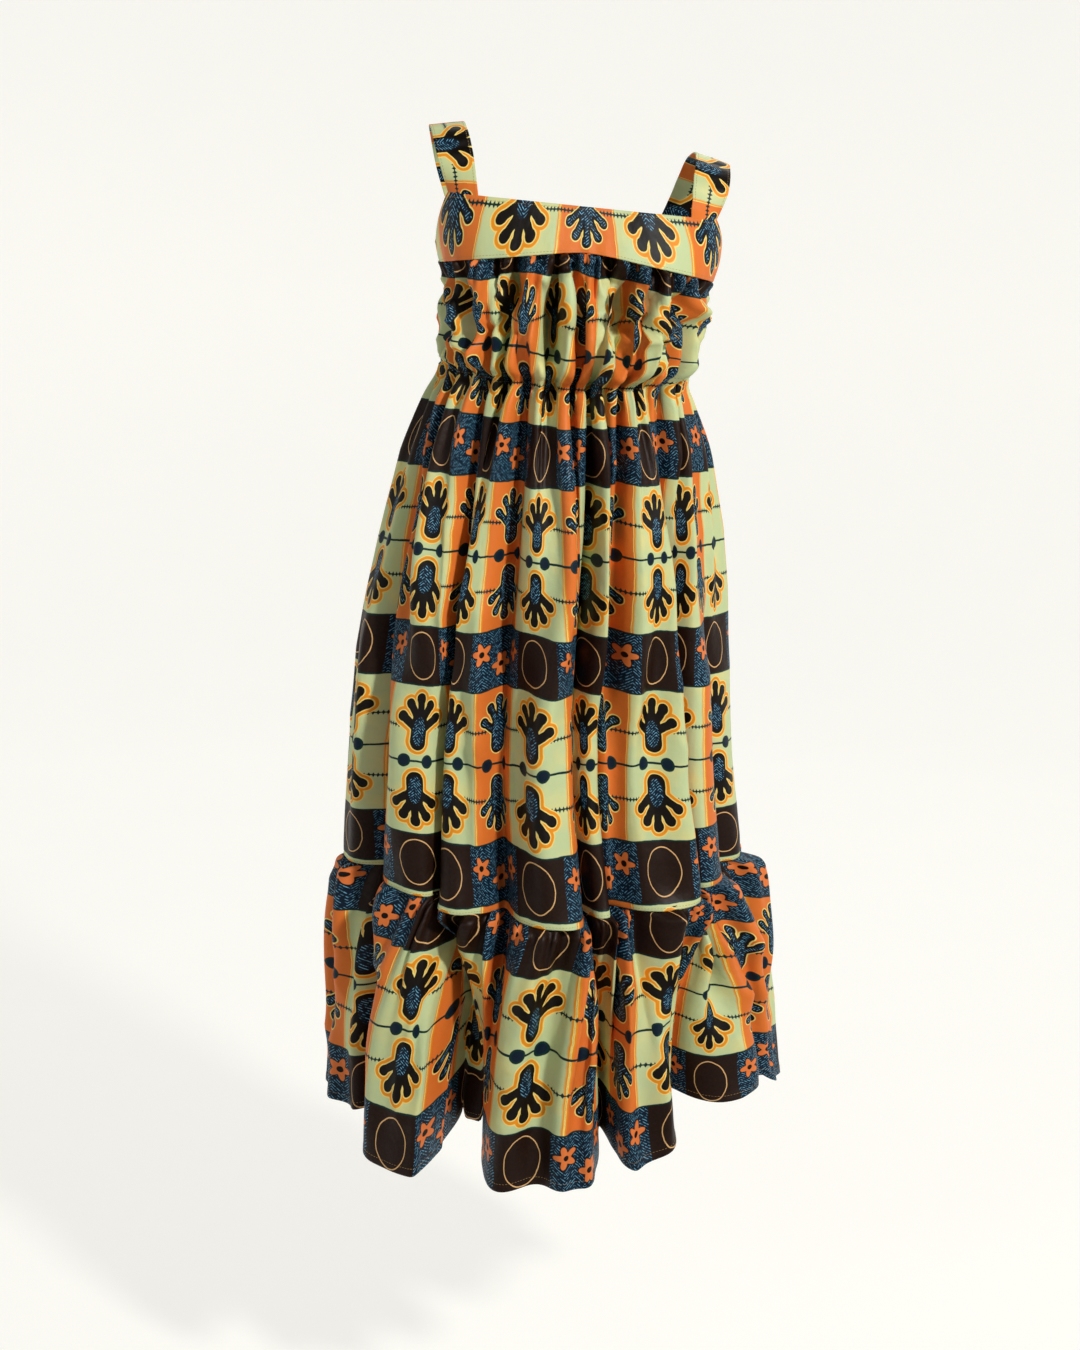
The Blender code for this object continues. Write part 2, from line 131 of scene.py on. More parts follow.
RUFFLE_LOOK = Look(RUFFLE_FOLDS, 0.09, 5.5)
FLARE_POWER = 0.42
# How far the gathered edge lies tucked up behind the seam above it
SEAM_TUCK = 0.004

# Down each panel: the level, how much higher the sides hang, how much of the big folds shows,
# how far the cloth pouts, how steeply the gathers, the fine pleats and the broad waves swing
# (radians either way), and the depth of the loose drape
Row = namedtuple("Row", "z side_rise fold_share pout gather fine broad drape")
PANEL_ROWS = (
    Row(YOKE_SEAM_Z + SEAM_TUCK, 0.0, 0.00, -0.0052, 0.10, 0.25, 0.00, 0.0000),
    Row(YOKE_SEAM_Z, 0.0000, 0.00, -0.0046, 0.18, 0.45, 0.00, 0.0000),
    Row(-0.112, 0.0016, 0.01, 0.0024, 1.40, 1.25, 0.05, 0.0014),
    Row(-0.124, 0.0034, 0.02, 0.0046, 1.70, 0.95, 0.30, 0.0070),
    Row(-0.150, 0.0070, 0.06, 0.0040, 1.55, 0.50, 0.95, 0.0190),
    Row(-0.190, 0.0105, 0.08, 0.0040, 1.50, 0.45, 1.10, 0.0215),
    Row(-0.220, 0.0130, 0.06, 0.0100, 1.65, 0.65, 0.80, 0.0140),
    Row(-0.234, 0.0138, 0.03, 0.0080, 1.70, 0.95, 0.25, 0.0040),
    Row(WAIST_Z, 0.0140, 0.02, -0.0030, 1.15, 1.10, 0.00, 0.0000),
    Row(-0.252, 0.0140, 0.03, 0.0010, 1.60, 1.05, 0.10, 0.0010),
    Row(-0.268, 0.0140, 0.06, 0.0020, 1.62, 0.70, 0.35, 0.0020),
    Row(-0.302, 0.0120, 0.14, 0.0010, 1.42, 0.35, 0.60, 0.0036),
    Row(-0.362, 0.0090, 0.34, -0.0010, 1.10, 0.12, 0.80, 0.0046),
    Row(-0.452, 0.0040, 0.58, -0.0020, 0.86, 0.06, 0.74, 0.0050),
    Row(-0.562, 0.0010, 0.80, -0.0020, 0.68, 0.04, 0.62, 0.0048),
    Row(-0.660, 0.0060, 0.90, -0.0010, 0.50, 0.04, 0.50, 0.0040),
    Row(-0.728, 0.0200, 0.97, 0.0000, 0.40, 0.08, 0.32, 0.0030),
    Row(-0.778, 0.0305, 1.00, 0.0000, 0.32, 0.20, 0.12, 0.0012),
    Row(RUFFLE_SEAM_Z, 0.0330, 1.00, -0.0006, 0.12, 0.16, 0.00, 0.0000),
)
RUFFLE_ROWS = (
    Row(RUFFLE_SEAM_Z + SEAM_TUCK, 0.0330, 0.00, -0.0060, 0.10, 0.18, 0.00, 0.0),
    Row(RUFFLE_SEAM_Z, 0.0330, 0.00, -0.0052, 0.20, 0.45, 0.00, 0.0000),
    Row(-0.794, 0.0330, 0.03, 0.0000, 1.45, 1.40, 0.10, 0.0014),
    Row(-0.808, 0.0330, 0.12, 0.0000, 1.70, 1.15, 0.35, 0.0040),
    Row(-0.851, 0.0330, 0.40, 0.0000, 1.60, 0.62, 0.70, 0.0062),
    Row(-0.920, 0.0330, 0.75, 0.0000, 1.20, 0.24, 0.80, 0.0060),
    Row(-0.995, 0.0330, 0.95, 0.0000, 0.76, 0.00, 0.62, 0.0050),
    Row(HEM_Z, 0.0330, 1.00, 0.0000, 0.56, 0.00, 0.50, 0.0044),
)
# How much higher than at the centre front the hem hangs, by loop angle
HemPoint = namedtuple("HemPoint", "deg rise")
HEM_LEVELS = (
    HemPoint(-40.0, 0.014),
    HemPoint(-18.0, 0.036),
    HemPoint(8.0, 0.044),
    HemPoint(24.0, 0.020),
    HemPoint(38.0, 0.000),
    HemPoint(44.0, 0.002),
    HemPoint(50.0, 0.030),
    HemPoint(57.0, 0.030),
    HemPoint(63.0, 0.006),
    HemPoint(84.0, 0.000),
    HemPoint(104.0, 0.006),
    HemPoint(117.0, 0.024),
    HemPoint(130.0, 0.052),
    HemPoint(149.0, 0.086),
    HemPoint(170.0, 0.056),
    HemPoint(192.0, 0.040),
    HemPoint(222.0, 0.014),
    HemPoint(270.0, 0.000),
    HemPoint(320.0, 0.014),
    HemPoint(342.0, 0.036),
    HemPoint(368.0, 0.044),
)
# How much higher the hem hangs in a valley, and how far the ruffle's sides stand out below its seam
HEM_VALLEY_RISE = 0.024
SIDE_SWELL = 0.007
# How many of each stand round the whole loop
Counts = namedtuple("Counts", "gathers fine broad drags crumples")
PANEL_COUNTS = Counts(36, 88, 19, 23, 46)
RUFFLE_COUNTS = Counts(44, 120, 29, 17, 52)
# How fast the cloth's unevenness changes on the way down: metres down, and spots passed
DownPoint = namedtuple("DownPoint", "down spots")
PANEL_SPOTS = (DownPoint(-0.01, 0.0), DownPoint(0.13, 2.4), DownPoint(0.70, 6.0))
RUFFLE_SPOTS = (DownPoint(-0.01, 0.0), DownPoint(0.30, 2.2))
NOISE_ROWS = 64
# How much calmer the panels are at their sides, and the ruffle in its valleys
SIDE_CALM = 0.75
VALLEY_CALM = 0.7
# How soon the ruffle's columns turn from the seam's spacing to the hem's
COLUMN_TURN = 0.8
# How many rows of points the panels and the ruffle have, and columns each half of the yoke
PANEL_LEVELS = 158
RUFFLE_LEVELS = 70
YOKE_COLUMNS = 180
# How far the yoke's lower edge laps its seam, and the straps' ends lie below its upper edge
YOKE_LAP = 0.0008
STRAP_SINK = 0.001

# A strap's way over the shoulder, at shares of its run: how far back its middle lies, how far
# down, and how far from the dress's middle
StrapPoint = namedtuple("StrapPoint", "share y drop spacing")
STRAP_RUN = (
    StrapPoint(0.20, -0.054, 0.028, 0.1300),
    StrapPoint(0.36, -0.030, 0.006, 0.1350),
    StrapPoint(0.48, 0.000, 0.000, 0.1365),
    StrapPoint(0.60, 0.034, 0.008, 0.1340),
    StrapPoint(0.78, 0.070, 0.046, 0.1240),
)

# The print's repeat, in millimetres: a light row of green and orange blocks, then a dark row of
# blue and brown ones
REPEAT_X = 147.0
GREEN_WIDTH = 85.0
REPEAT_Y = 222.0
LIGHT_HEIGHT = 159.0
ORANGE_MIDDLE = GREEN_WIDTH + (REPEAT_X - GREEN_WIDTH) / 2
# Where each piece is cut from the print: its middle across and its upper edge down, with its
# own length
Cut = namedtuple("Cut", "middle top length")
PANEL_CUT = Cut(ORANGE_MIDDLE, 194.0, 701.0)
RUFFLE_CUT = Cut(108.0, 161.0, 278.0)
YOKE_CUT_BOTTOM = 155.0
YOKE_CUT_HEIGHT = 44.5
# How far along the print the back pieces are cut from the front ones, in metres
BACK_CUT_SHIFT = 0.041
# Where each strap's print starts, along and across: the wearer's right, then the left
STRAP_CUTS = {-1: (-12.0, 22.0), 1: (-16.0, 98.0)}

# The print's figures, in millimetres of flat cloth
WOBBLE = 2.6
BARBED_LINE_UP = 36.0
BARB_PITCH = 4.2
BEAD_ACROSS = 14.0
BEAD_RADIUS = 7.2
BEAD_BLUE_RADIUS = 5.0
HEART_UP = 31.0
HEART_RADIUS = 14.5
HATCH_PITCH = 3.1
HATCH_TURN = 11.0
FLOWER_SPACING = 27.0
FLOWER_RISE = 16.0
FLOWER_RADIUS = 9.4
PETAL_SWING = 3.1
FLOWER_EYE_RADIUS = 3.1
RING_RADIUS = 25.0
WEAVE_PITCH = 0.8
CRINKLE_SIZE = 9.0

# The waist casing's half height, how round the cloth's edges are, and how far the stitching
# runs from an edge and from a seam
CASING_HALF = 0.0045
EDGE_RADIUS = 0.0012
SEAM_EDGE_RADIUS = 0.0008
EDGE_INSET = 0.003
SEAM_INSET = 0.0025

# What the stitching needs from the cloth that is already made
SKINS = {}


def linear(red, green, blue):
    """A display colour from 0 to 255 as the linear colour that a shader takes."""
    shown = np.array([red, green, blue]) / 255.0
    value = np.where(shown <= 0.04045, shown / 12.92, ((shown + 0.055) / 1.055) ** 2.4)
    return (*value.tolist(), 1.0)


def colour_property(name, description, default):
    return FloatVectorProperty(
        name=name, description=description, subtype="COLOR", size=4, min=0.0, max=1.0, default=default
    )


class ClothSizes(bpy.types.PropertyGroup):
    cloth_thickness: FloatProperty(
        name="Cloth thickness", description="Thickness of the panels and the ruffle",
        default=0.0008, min=0.0002, max=0.003, unit="LENGTH",
    )
    band_thickness: FloatProperty(
        name="Band thickness", description="Thickness of the doubled yoke and straps",
        default=0.0016, min=0.0004, max=0.004, unit="LENGTH",
    )
    hem_width: FloatProperty(
        name="Hem width", description="Height of the turned hem",
        default=0.009, min=0.003, max=0.03, unit="LENGTH",
    )
    panel_columns: IntProperty(
        name="Panel columns", description="Points across the front or back panel",
        default=300, min=72, max=320,
    )
    ruffle_columns: IntProperty(
        name="Ruffle columns", description="Points across the front or back ruffle",
        default=460, min=64, max=480,
    )


class PrintColours(bpy.types.PropertyGroup):
    pale_green: colour_property("Pale green", "Ground of the wide light blocks", linear(198, 212, 160))
    orange: colour_property("Orange", "Ground of the narrow light blocks", linear(228, 120, 48))
    halo: colour_property("Halo", "Band round each leaf", linear(238, 146, 26))
    rim: colour_property("Rim", "Thin pale line round the halo", linear(248, 224, 130))
    brown: colour_property("Brown", "Leaves and the dark blocks", linear(12, 5, 3))
    blue: colour_property("Blue", "Ground of the blue blocks", linear(2, 26, 46))
    # Hatch: the print's strokes on the blue, made bright so that they also paint the wax sheen's glints
    hatch_and_glint: colour_property("Hatch", "Fine strokes on the blue", linear(128, 194, 230))
    line: colour_property("Line", "Thin lines and beads", linear(4, 44, 46))
    flower: colour_property("Flower", "Small flowers of the dark rows", linear(230, 124, 62))
    ring: colour_property("Ring", "Thin rings of the brown blocks", linear(236, 188, 128))


class StitchSizes(bpy.types.PropertyGroup):
    pitch: FloatProperty(
        name="Stitch pitch", description="Distance from one stitch to the next",
        default=0.0034, min=0.001, max=0.01, unit="LENGTH",
    )
    length: FloatProperty(
        name="Stitch length", description="Length of the thread that shows in one stitch",
        default=0.0026, min=0.0005, max=0.009, unit="LENGTH",
    )
    thread: FloatProperty(
        name="Thread radius", description="Half the thickness of the thread",
        default=0.00022, min=0.0001, max=0.001, unit="LENGTH",
    )
    colour: colour_property("Thread colour", "Colour of the sewing thread", linear(168, 132, 74))


class StudioSettings(bpy.types.PropertyGroup):
    floor_level: FloatProperty(
        name="Floor level", description="Height of the floor below the wearer's shoulders",
        default=-1.42, min=-3.0, max=-1.1, unit="LENGTH",
    )
    floor_colour: colour_property(
        "Floor colour", "Colour of the floor and the wall", (0.36, 0.355, 0.335, 1.0)
    )
    key_power: FloatProperty(
        name="Key light", description="Power of the main light",
        default=116.0, min=0.0, max=1000.0, unit="POWER",
    )


def placed(name, data):
    """A new object in the scene."""
    item = bpy.data.objects.new(name, data)
    bpy.context.scene.collection.objects.link(item)
    return item


# The shape of the worn cloth


def eased(x, knots, values):
    """A smooth curve through the table's values, with the knots in rising order."""
    knots, values = np.asarray(knots, float), np.asarray(values, float)
    slope = np.gradient(values, knots)
    x = np.clip(x, knots[0], knots[-1])
    i = np.clip(np.searchsorted(knots, x) - 1, 0, len(knots) - 2)
    step = knots[i + 1] - knots[i]
    t = (x - knots[i]) / step
    return (
        values[i] * (1 + 2 * t) * (1 - t) ** 2
        + slope[i] * step * t * (1 - t) ** 2
        + values[i + 1] * t * t * (3 - 2 * t)
        + slope[i + 1] * step * t * t * (t - 1)
    )


def row_value(rows, name, z):
    """One named column of a table that runs downwards, read at any level."""
    return eased(z, [row.z for row in reversed(rows)], [getattr(row, name) for row in reversed(rows)])


def section_sizes(z):
    """The middle, half width, front and back depth and squareness of the body at any level."""
    return [row_value(BODY_SECTIONS, name, z) for name in ("mid_x", "half_width", "front", "back", "square")]


def ring(deg, mid_x, half_width, front, back, square):
    """Points and outward directions on a rounded section, in plan."""
    turn = np.radians(deg)
    dx, dy = -np.cos(turn), -np.sin(turn)
    depth = np.where(dy < 0, front, back)
    reach = (np.abs(dx / half_width) ** square + np.abs(dy / depth) ** square) ** (-1 / square)
    x, y = reach * dx, reach * dy
    nx = np.sign(x) * np.abs(x) ** (square - 1) / half_width**square
    ny = np.sign(y) * np.abs(y) ** (square - 1) / depth**square
    size = np.hypot(nx, ny)
    return x + mid_x, y, nx / size, ny / size


def fold_shape(deg, look):
    """How far out the folds stand, how far they slide round and lean, and where the valleys are."""
    valleys, depths, crests, leans = (np.array(column) for column in zip(*look.folds))
    turned = (np.asarray(deg, float) - valleys[0]) % FULL_TURN + valleys[0]
    i = np.searchsorted(valleys, turned, side="right") - 1
    following = (i + 1) % len(valleys)
    width = (valleys[following] - valleys[i]) % FULL_TURN
    t = (turned - valleys[i]) / width
    crest = 1 - np.abs(np.cos(np.pi * t)) ** look.sharpness
    eased_t = t * t * (3 - 2 * t)
    depth = depths[i] * (1 - eased_t) + depths[following] * eased_t
    out = crests[i] * crest - depth * (1 - crest)
    slide = -look.spread * width * np.sin(2 * np.pi * t)
    lean = leans[i] * (depth + crests[i]) * np.sin(np.pi * t) ** 2
    return out, slide, lean, 1 - crest


def pushed(x, y, nx, ny, out, along=0.0):
    """Points moved outwards, and along the loop towards the wearer's left."""
    return x + nx * out - ny * along, y + ny * out + nx * along


def folded_edge(deg, sizes, look):
    """Points along a section in plan, with its folds if it has any."""
    if look is None:
        return ring(deg, *sizes)[:2]
    out, slide, lean, _ = fold_shape(deg, look)
    return pushed(*ring(deg + slide, *sizes), out, lean)


def even_degs(share, sizes, look):
    """Loop angles at shares of the cloth, spaced evenly along its folded edge in each half."""
    degs, shares, lengths = [], [], []
    for half in (0, 1):
        fine = np.linspace(half * HALF_TURN, (half + 1) * HALF_TURN, 6000)
        x, y = folded_edge(fine, sizes, look)
        run = np.concatenate([[0.0], np.cumsum(np.hypot(np.diff(x), np.diff(y)))])
        degs.append(fine)
        shares.append((half + run / run[-1]) / 2)
        lengths.append(run[-1])
    return np.interp(share, np.concatenate(shares), np.concatenate(degs)), lengths


def soft_noise(share, spots, around, seed):
    """Smooth uneven values from -1 to 1, with that many spots round the loop."""
    table = np.random.default_rng(seed).uniform(-1.0, 1.0, (NOISE_ROWS, around))
    along = share * around
    column, row = np.floor(along).astype(int), np.floor(spots).astype(int)
    across, down = along - column, spots - row
    across, down = across * across * (3 - 2 * across), down * down * (3 - 2 * down)
    first, second = column % around, (column + 1) % around
    here, below = row % NOISE_ROWS, (row + 1) % NOISE_ROWS
    upper = table[here, first] * (1 - across) + table[here, second] * across
    lower = table[below, first] * (1 - across) + table[below, second] * across
    return upper * (1 - down) + lower * down


def run_along(points):
    """How far along a line each of its points lies."""
    step = np.linalg.norm(np.diff(points, axis=0), axis=-1)
    return np.concatenate([[0.0], np.cumsum(step)])


def run_down(grid):
    """How far down the cloth each row of a grid lies."""
    step = np.linalg.norm(np.diff(grid, axis=0), axis=-1).mean(axis=1)
    return np.concatenate([[0.0], np.cumsum(step)])


# How far the middle of the folds lies in from the ring, as a share of their depth
FOLD_SINK = 0.45


def meander(phase, swing):
    """Height and slide of cloth whose slope swings evenly to and fro, for a fold of 2 pi length.

    The first terms of the Bessel series keep the cloth's own length the same all along.
    """
    first = swing / 2 - swing**3 / 16 + swing**5 / 384
    second = swing**2 / 8 - swing**4 / 96 + swing**6 / 3072
    third = swing**3 / 48 - swing**5 / 768
    height = 2 * first * np.sin(phase) - 2 / 3 * third * np.sin(3 * phase) - FOLD_SINK * 2 * first
    return height, -second * np.sin(2 * phase)


def gathered(share, spots, swing, count, loop, jitter, seed, slant=0.0):
    """Uneven folds of cloth round the loop: how far out they stand and slide along it.

    The jitter moves each fold to and fro on its way down, and the slant lets it run askew.
    """
    place = share * count + jitter * soft_noise(share, spots * 0.6, int(count * 0.6), seed)
    place = place + slant * spots * soft_noise(share, 0 * spots, around=7, seed=seed + 2)
    uneven = 1 + 0.6 * soft_noise(share, spots * 0.8, int(count * 0.8), seed + 1)
    height, slide = meander(2 * np.pi * place, np.clip(swing * uneven, 0.0, 1.8))
    radius = loop / (2 * np.pi * count)
    return height * radius, slide * radius


def spaced_levels(top, bottom, count, close=()):
    """Levels from top to bottom, closer together at both ends and near the named ones.

    Each of those has its level, its reach and how much closer.
    """
    fine = np.linspace(top, bottom, 4000)
    weight = np.ones_like(fine)
    for level, reach, gain in (*close, (top, 0.002, 4.0), (bottom, 0.002, 4.0)):
        weight += gain * np.exp(-(((fine - level) / reach) ** 2))
    run = np.cumsum(weight)
    run = (run - run[0]) / (run[-1] - run[0])
    return np.interp(np.linspace(0, 1, count), run, fine)


def yoke_seam_z(deg):
    side = np.abs(np.cos(np.radians(deg))) ** 1.6
    middle = np.where(np.sin(np.radians(deg)) > 0, YOKE_SEAM_Z, BACK_YOKE_SEAM_Z)
    return middle + (SIDE_YOKE_SEAM_Z - middle) * side


def tilted(x, z, mid_x):
    """The level after the shoulders' lean, which drops the wearer's left side."""
    return z - np.tan(np.radians(row_value(BODY_SECTIONS, "tilt", z))) * (x - mid_x)


def cloth_shape(rows, z, share, spots, counts, calm, loop):
    """The gathers, pleats, waves and loose drape: how far out they stand, slide along and sag."""
    height, slide = 0.0, 0.0
    for name, count, jitter, seed in (
        ("gather", counts.gathers, 0.5, 11),
        ("fine", counts.fine, 0.5, 23),
        ("broad", counts.broad, 0.6, 37),
    ):
        swing = row_value(rows, name, z)[:, None] * calm
        out, along = gathered(share, spots, swing, count, loop, jitter, seed)
        height, slide = height + out, slide + along
    unit_loop = counts.drags * 2 * np.pi
    drags, _ = gathered(share, spots, 1.0, counts.drags, unit_loop, jitter=0.5, seed=47, slant=0.9)
    crumple = 0.55 - 2.0 * np.abs(soft_noise(share, spots * 2.2, counts.crumples, seed=83))
    loose = 0.7 * drags + 0.5 * soft_noise(share, spots, around=30, seed=41) + 0.75 * crumple
    drape = row_value(rows, "drape", z)[:, None] * calm
    sag = 0.55 * drape * soft_noise(share, spots * 1.6, around=38, seed=91)
    return height + drape * loose, slide, sag


def side_seam(share, depth=0.0009, reach=0.004):
    """The slight hollow that a side seam pulls into the cloth."""
    away = np.minimum(np.abs(share - np.round(share * 2) / 2), 0.5)
    return -depth * np.exp(-((away / reach) ** 2))


def panel_grid(columns):
    """The whole body, front and back: points, places on the print, and lengths of its halves."""
    share = np.linspace(0.0, 1.0, 2 * columns + 1)
    waist_deg, _ = even_degs(share, section_sizes(WAIST_Z), None)
    low_deg, lengths = even_degs(share, section_sizes(RUFFLE_SEAM_Z), SKIRT_LOOK)
    close = ((WAIST_Z, 0.016, 1.6), (YOKE_SEAM_Z, 0.03, 0.8))
    z = spaced_levels(YOKE_SEAM_Z + SEAM_TUCK, RUFFLE_SEAM_Z, PANEL_LEVELS, close)
    rows = {name: row_value(PANEL_ROWS, name, z)[:, None] for name in ("side_rise", "fold_share", "pout")}
    folds = np.clip(rows["fold_share"], 0.0, 1.0)
    deg = waist_deg + (low_deg - waist_deg) * folds
    level = z[:, None] + rows["side_rise"] * np.cos(np.radians(deg)) ** 2
    to_yoke = np.clip((z - WAIST_Z) / (YOKE_SEAM_Z - WAIST_Z), 0.0, 1.0)[:, None]
    level = level + (yoke_seam_z(deg) - YOKE_SEAM_Z) * to_yoke
    out, slide, lean, _ = fold_shape(deg, SKIRT_LOOK)
    x, y, nx, ny = ring(deg + slide * folds, *section_sizes(level))
    spots = np.interp(YOKE_SEAM_Z - z, *zip(*PANEL_SPOTS))[:, None] + 0 * share
    calm = 1 - SIDE_CALM * np.abs(np.cos(np.radians(deg))) ** 3
    shares = share + 0 * spots
    shape, along, sag = cloth_shape(PANEL_ROWS, z, shares, spots, PANEL_COUNTS, calm, sum(lengths))
    height = out * folds + shape + side_seam(share) + waist_channel(z)[:, None]
    front_only = np.sin(np.radians(deg)) ** 2
    height = height + np.where(rows["pout"] < 0, rows["pout"], rows["pout"] * front_only)
    x, y = pushed(x, y, nx, ny, height, lean * folds + along)
    grid = np.stack([x, y, tilted(x, level, section_sizes(level)[0]) + sag], axis=-1)
    return grid, places_on_print(grid, share, lengths, PANEL_CUT), lengths


def waist_channel(z, roll_height=0.0012, sewn_depth=0.0009, sewn_reach=0.0012):
    """The casing of the waist elastic: a low roll between two sewn lines."""
    roll = roll_height * np.exp(-(((z - WAIST_Z) / (CASING_HALF * 0.7)) ** 4))
    sewn = sum(np.exp(-(((z - WAIST_Z - side * CASING_HALF) / sewn_reach) ** 2)) for side in (-1, 1))
    return roll - sewn_depth * sewn


def ruffle_grid(columns):
    """The whole ruffle, front and back. Its top is gathered to the panel's folded edge."""
    share = np.linspace(0.0, 1.0, 2 * columns + 1)
    top_sizes = section_sizes(RUFFLE_SEAM_Z)
    hem_sizes = HEM_SECTION[1:6]
    top_deg, _ = even_degs(share, top_sizes, SKIRT_LOOK)
    hem_deg, lengths = even_degs(share, hem_sizes, RUFFLE_LOOK)
    close = ((RUFFLE_SEAM_Z, 0.02, 1.2),)
    z = spaced_levels(RUFFLE_SEAM_Z + SEAM_TUCK, HEM_Z, RUFFLE_LEVELS, close)
    folds = np.clip(row_value(RUFFLE_ROWS, "fold_share", z), 0.0, 1.0)[:, None]
    deg = top_deg + (hem_deg - top_deg) * folds**COLUMN_TURN
    skirt_out, skirt_slide, skirt_lean, _ = fold_shape(deg, SKIRT_LOOK)
    hem_out, hem_slide, hem_lean, valley = fold_shape(deg, RUFFLE_LOOK)
    fallen = np.clip((RUFFLE_SEAM_Z - z) / (RUFFLE_SEAM_Z - HEM_Z), 0.0, 1.0)[:, None]
    sizes = [a + (b - a) * fallen**FLARE_POWER for a, b in zip(top_sizes, hem_sizes)]
    x, y, nx, ny = ring(deg + skirt_slide * (1 - folds) + hem_slide * folds, *sizes)
    spots = np.interp(RUFFLE_SEAM_Z - z, *zip(*RUFFLE_SPOTS))[:, None] + 0 * share
    calm = 1 - VALLEY_CALM * valley * folds
    shares = share + 0 * spots
    shape, along, sag = cloth_shape(RUFFLE_ROWS, z, shares, spots, RUFFLE_COUNTS, calm, sum(lengths))
    height = skirt_out * (1 - folds) + hem_out * folds + side_seam(share) + shape
    side = np.cos(np.radians(deg))
    pout = row_value(RUFFLE_ROWS, "pout", z)[:, None]
    height = height + pout + SIDE_SWELL * 4 * folds * (1 - folds) * side**4
    x, y = pushed(x, y, nx, ny, height, skirt_lean * (1 - folds) + hem_lean * folds + along)
    seam_rise = row_value(RUFFLE_ROWS, "side_rise", z)[:, None] * side**2
    hem_rise = eased(deg, *zip(*HEM_LEVELS)) + HEM_VALLEY_RISE * valley
    rise = seam_rise * (1 - fallen) + hem_rise * fallen
    dip = 0.004 * folds * soft_noise(share, 0 * share, around=22, seed=53)
    grid = np.stack([x, y, z[:, None] + rise + dip + sag], axis=-1)
    return grid, places_on_print(grid, share, lengths, RUFFLE_CUT), lengths


def places_on_print(grid, share, lengths, cut):
    """Where each half's points lie on the printed cloth, in millimetres."""
    run = run_down(grid)
    down = cut.top + cut.length * run / run[-1]
    half = len(share) // 2
    places = []
    for i, length in enumerate(lengths):
        across = (share[i * half : (i + 1) * half + 1] * 2 - i - 0.5) * length + i * BACK_CUT_SHIFT
        place = np.zeros((len(run), half + 1, 3))
        place[..., 0] = cut.middle + across * MM
        place[..., 1] = down[:, None]
        places.append(place)
    return places


def strap_half_deg():
    x, y, _, _ = ring(STRAP_FRONT_DEG, *section_sizes(NECK_Z))
    return np.degrees(STRAP_WIDTH / 2 / np.hypot(x, y))


def yoke_top_z(deg):
    """The yoke's upper edge: straight between the straps, low under the arms."""
    from_side = np.minimum(deg % HALF_TURN, HALF_TURN - deg % HALF_TURN)
    front = np.sin(np.radians(deg)) > 0
    strap_deg = np.where(front, STRAP_FRONT_DEG, STRAP_BACK_DEG)
    middle = np.where(front, NECK_Z, BACK_NECK_Z)
    t = np.clip(from_side / (strap_deg - strap_half_deg()), 0.0, 1.0)
    return UNDERARM_Z + (middle - UNDERARM_Z) * t**1.5


def yoke_point(deg, z, out=0.0):
    sizes = section_sizes(z)
    x, y = pushed(*ring(deg, *sizes), out)
    return np.stack([x, y, tilted(x, z, sizes[0])], axis=-1)


def yoke_grid():
    """The whole yoke, front and back, standing a little proud of the gathered panel below it."""
    deg = np.linspace(0.0, FULL_TURN, 2 * YOKE_COLUMNS + 1)
    share = deg / FULL_TURN
    down = spaced_levels(0.0, 1.0, 30)
    ends = [0.0, 0.006, 0.016, 0.03]
    down = np.unique(np.concatenate([ends, down[(down > 0.04) & (down < 0.96)], [1 - e for e in ends]]))
    top, seam = yoke_top_z(deg), yoke_seam_z(deg) - YOKE_LAP
    z = top + (seam - top) * down[:, None]
    spots = down[:, None] + 0 * share
    shares = share + 0 * spots
    count = PANEL_COUNTS.gathers
    puckers, _ = gathered(shares, spots, swing=0.1, count=count, loop=0.9, jitter=0.3, seed=61)
    soft = 0.0011 * soft_noise(shares, spots * 1.4, around=26, seed=67)
    out = 0.0006 + soft + puckers * down[:, None] ** 2 + 0.4 * side_seam(share)
    grid = yoke_point(deg + 0 * z, z, out)
    run = run_along(grid[-1]) * MM
    places = []
    front_fit = YOKE_CUT_HEIGHT / (NECK_Z - seam)
    for first, fit in ((0, front_fit), (YOKE_COLUMNS, MM + 0 * seam)):
        part = slice(first, first + YOKE_COLUMNS + 1)
        place = np.zeros((len(down), YOKE_COLUMNS + 1, 3))
        place[..., 0] = ORANGE_MIDDLE + run[part] - run[first + YOKE_COLUMNS // 2]
        place[..., 1] = YOKE_CUT_BOTTOM + ((seam - z) * fit)[:, part]
        places.append(place)
    return grid, places


def strap_end_degs(side, front, shares):
    """Loop angles across a strap's end, from its inner edge to its outer edge."""
    middle = STRAP_FRONT_DEG if front else STRAP_BACK_DEG
    from_side = middle + strap_half_deg() * (1 - 2 * shares)
    if front:
        return HALF_TURN - from_side if side > 0 else from_side
    return HALF_TURN + from_side if side > 0 else FULL_TURN - from_side


def strap_edge(side, outer, even):
    """One long edge of a strap, from the front yoke over the shoulder to the back yoke."""
    edge = 1.0 if outer else -1.0
    degs = [strap_end_degs(side, front, np.array((edge + 1) / 2)) for front in (True, False)]
    ends = [yoke_point(deg, yoke_top_z(deg) - STRAP_SINK) for deg in degs]
    shares, points = [0.0], [ends[0]]
    for row in STRAP_RUN:
        x = side * (row.spacing + edge * STRAP_WIDTH / 2)
        z = -row.drop - edge * STRAP_TOP_OUTER_DROP / 2
        z -= np.tan(np.radians(SHOULDER_TILT_DEG)) * x
        shares.append(row.share)
        points.append(np.array([x, row.y, z]))
    shares.append(1.0)
    points.append(ends[1])
    return np.stack([eased(even, shares, [p[i] for p in points]) for i in range(3)], axis=-1)


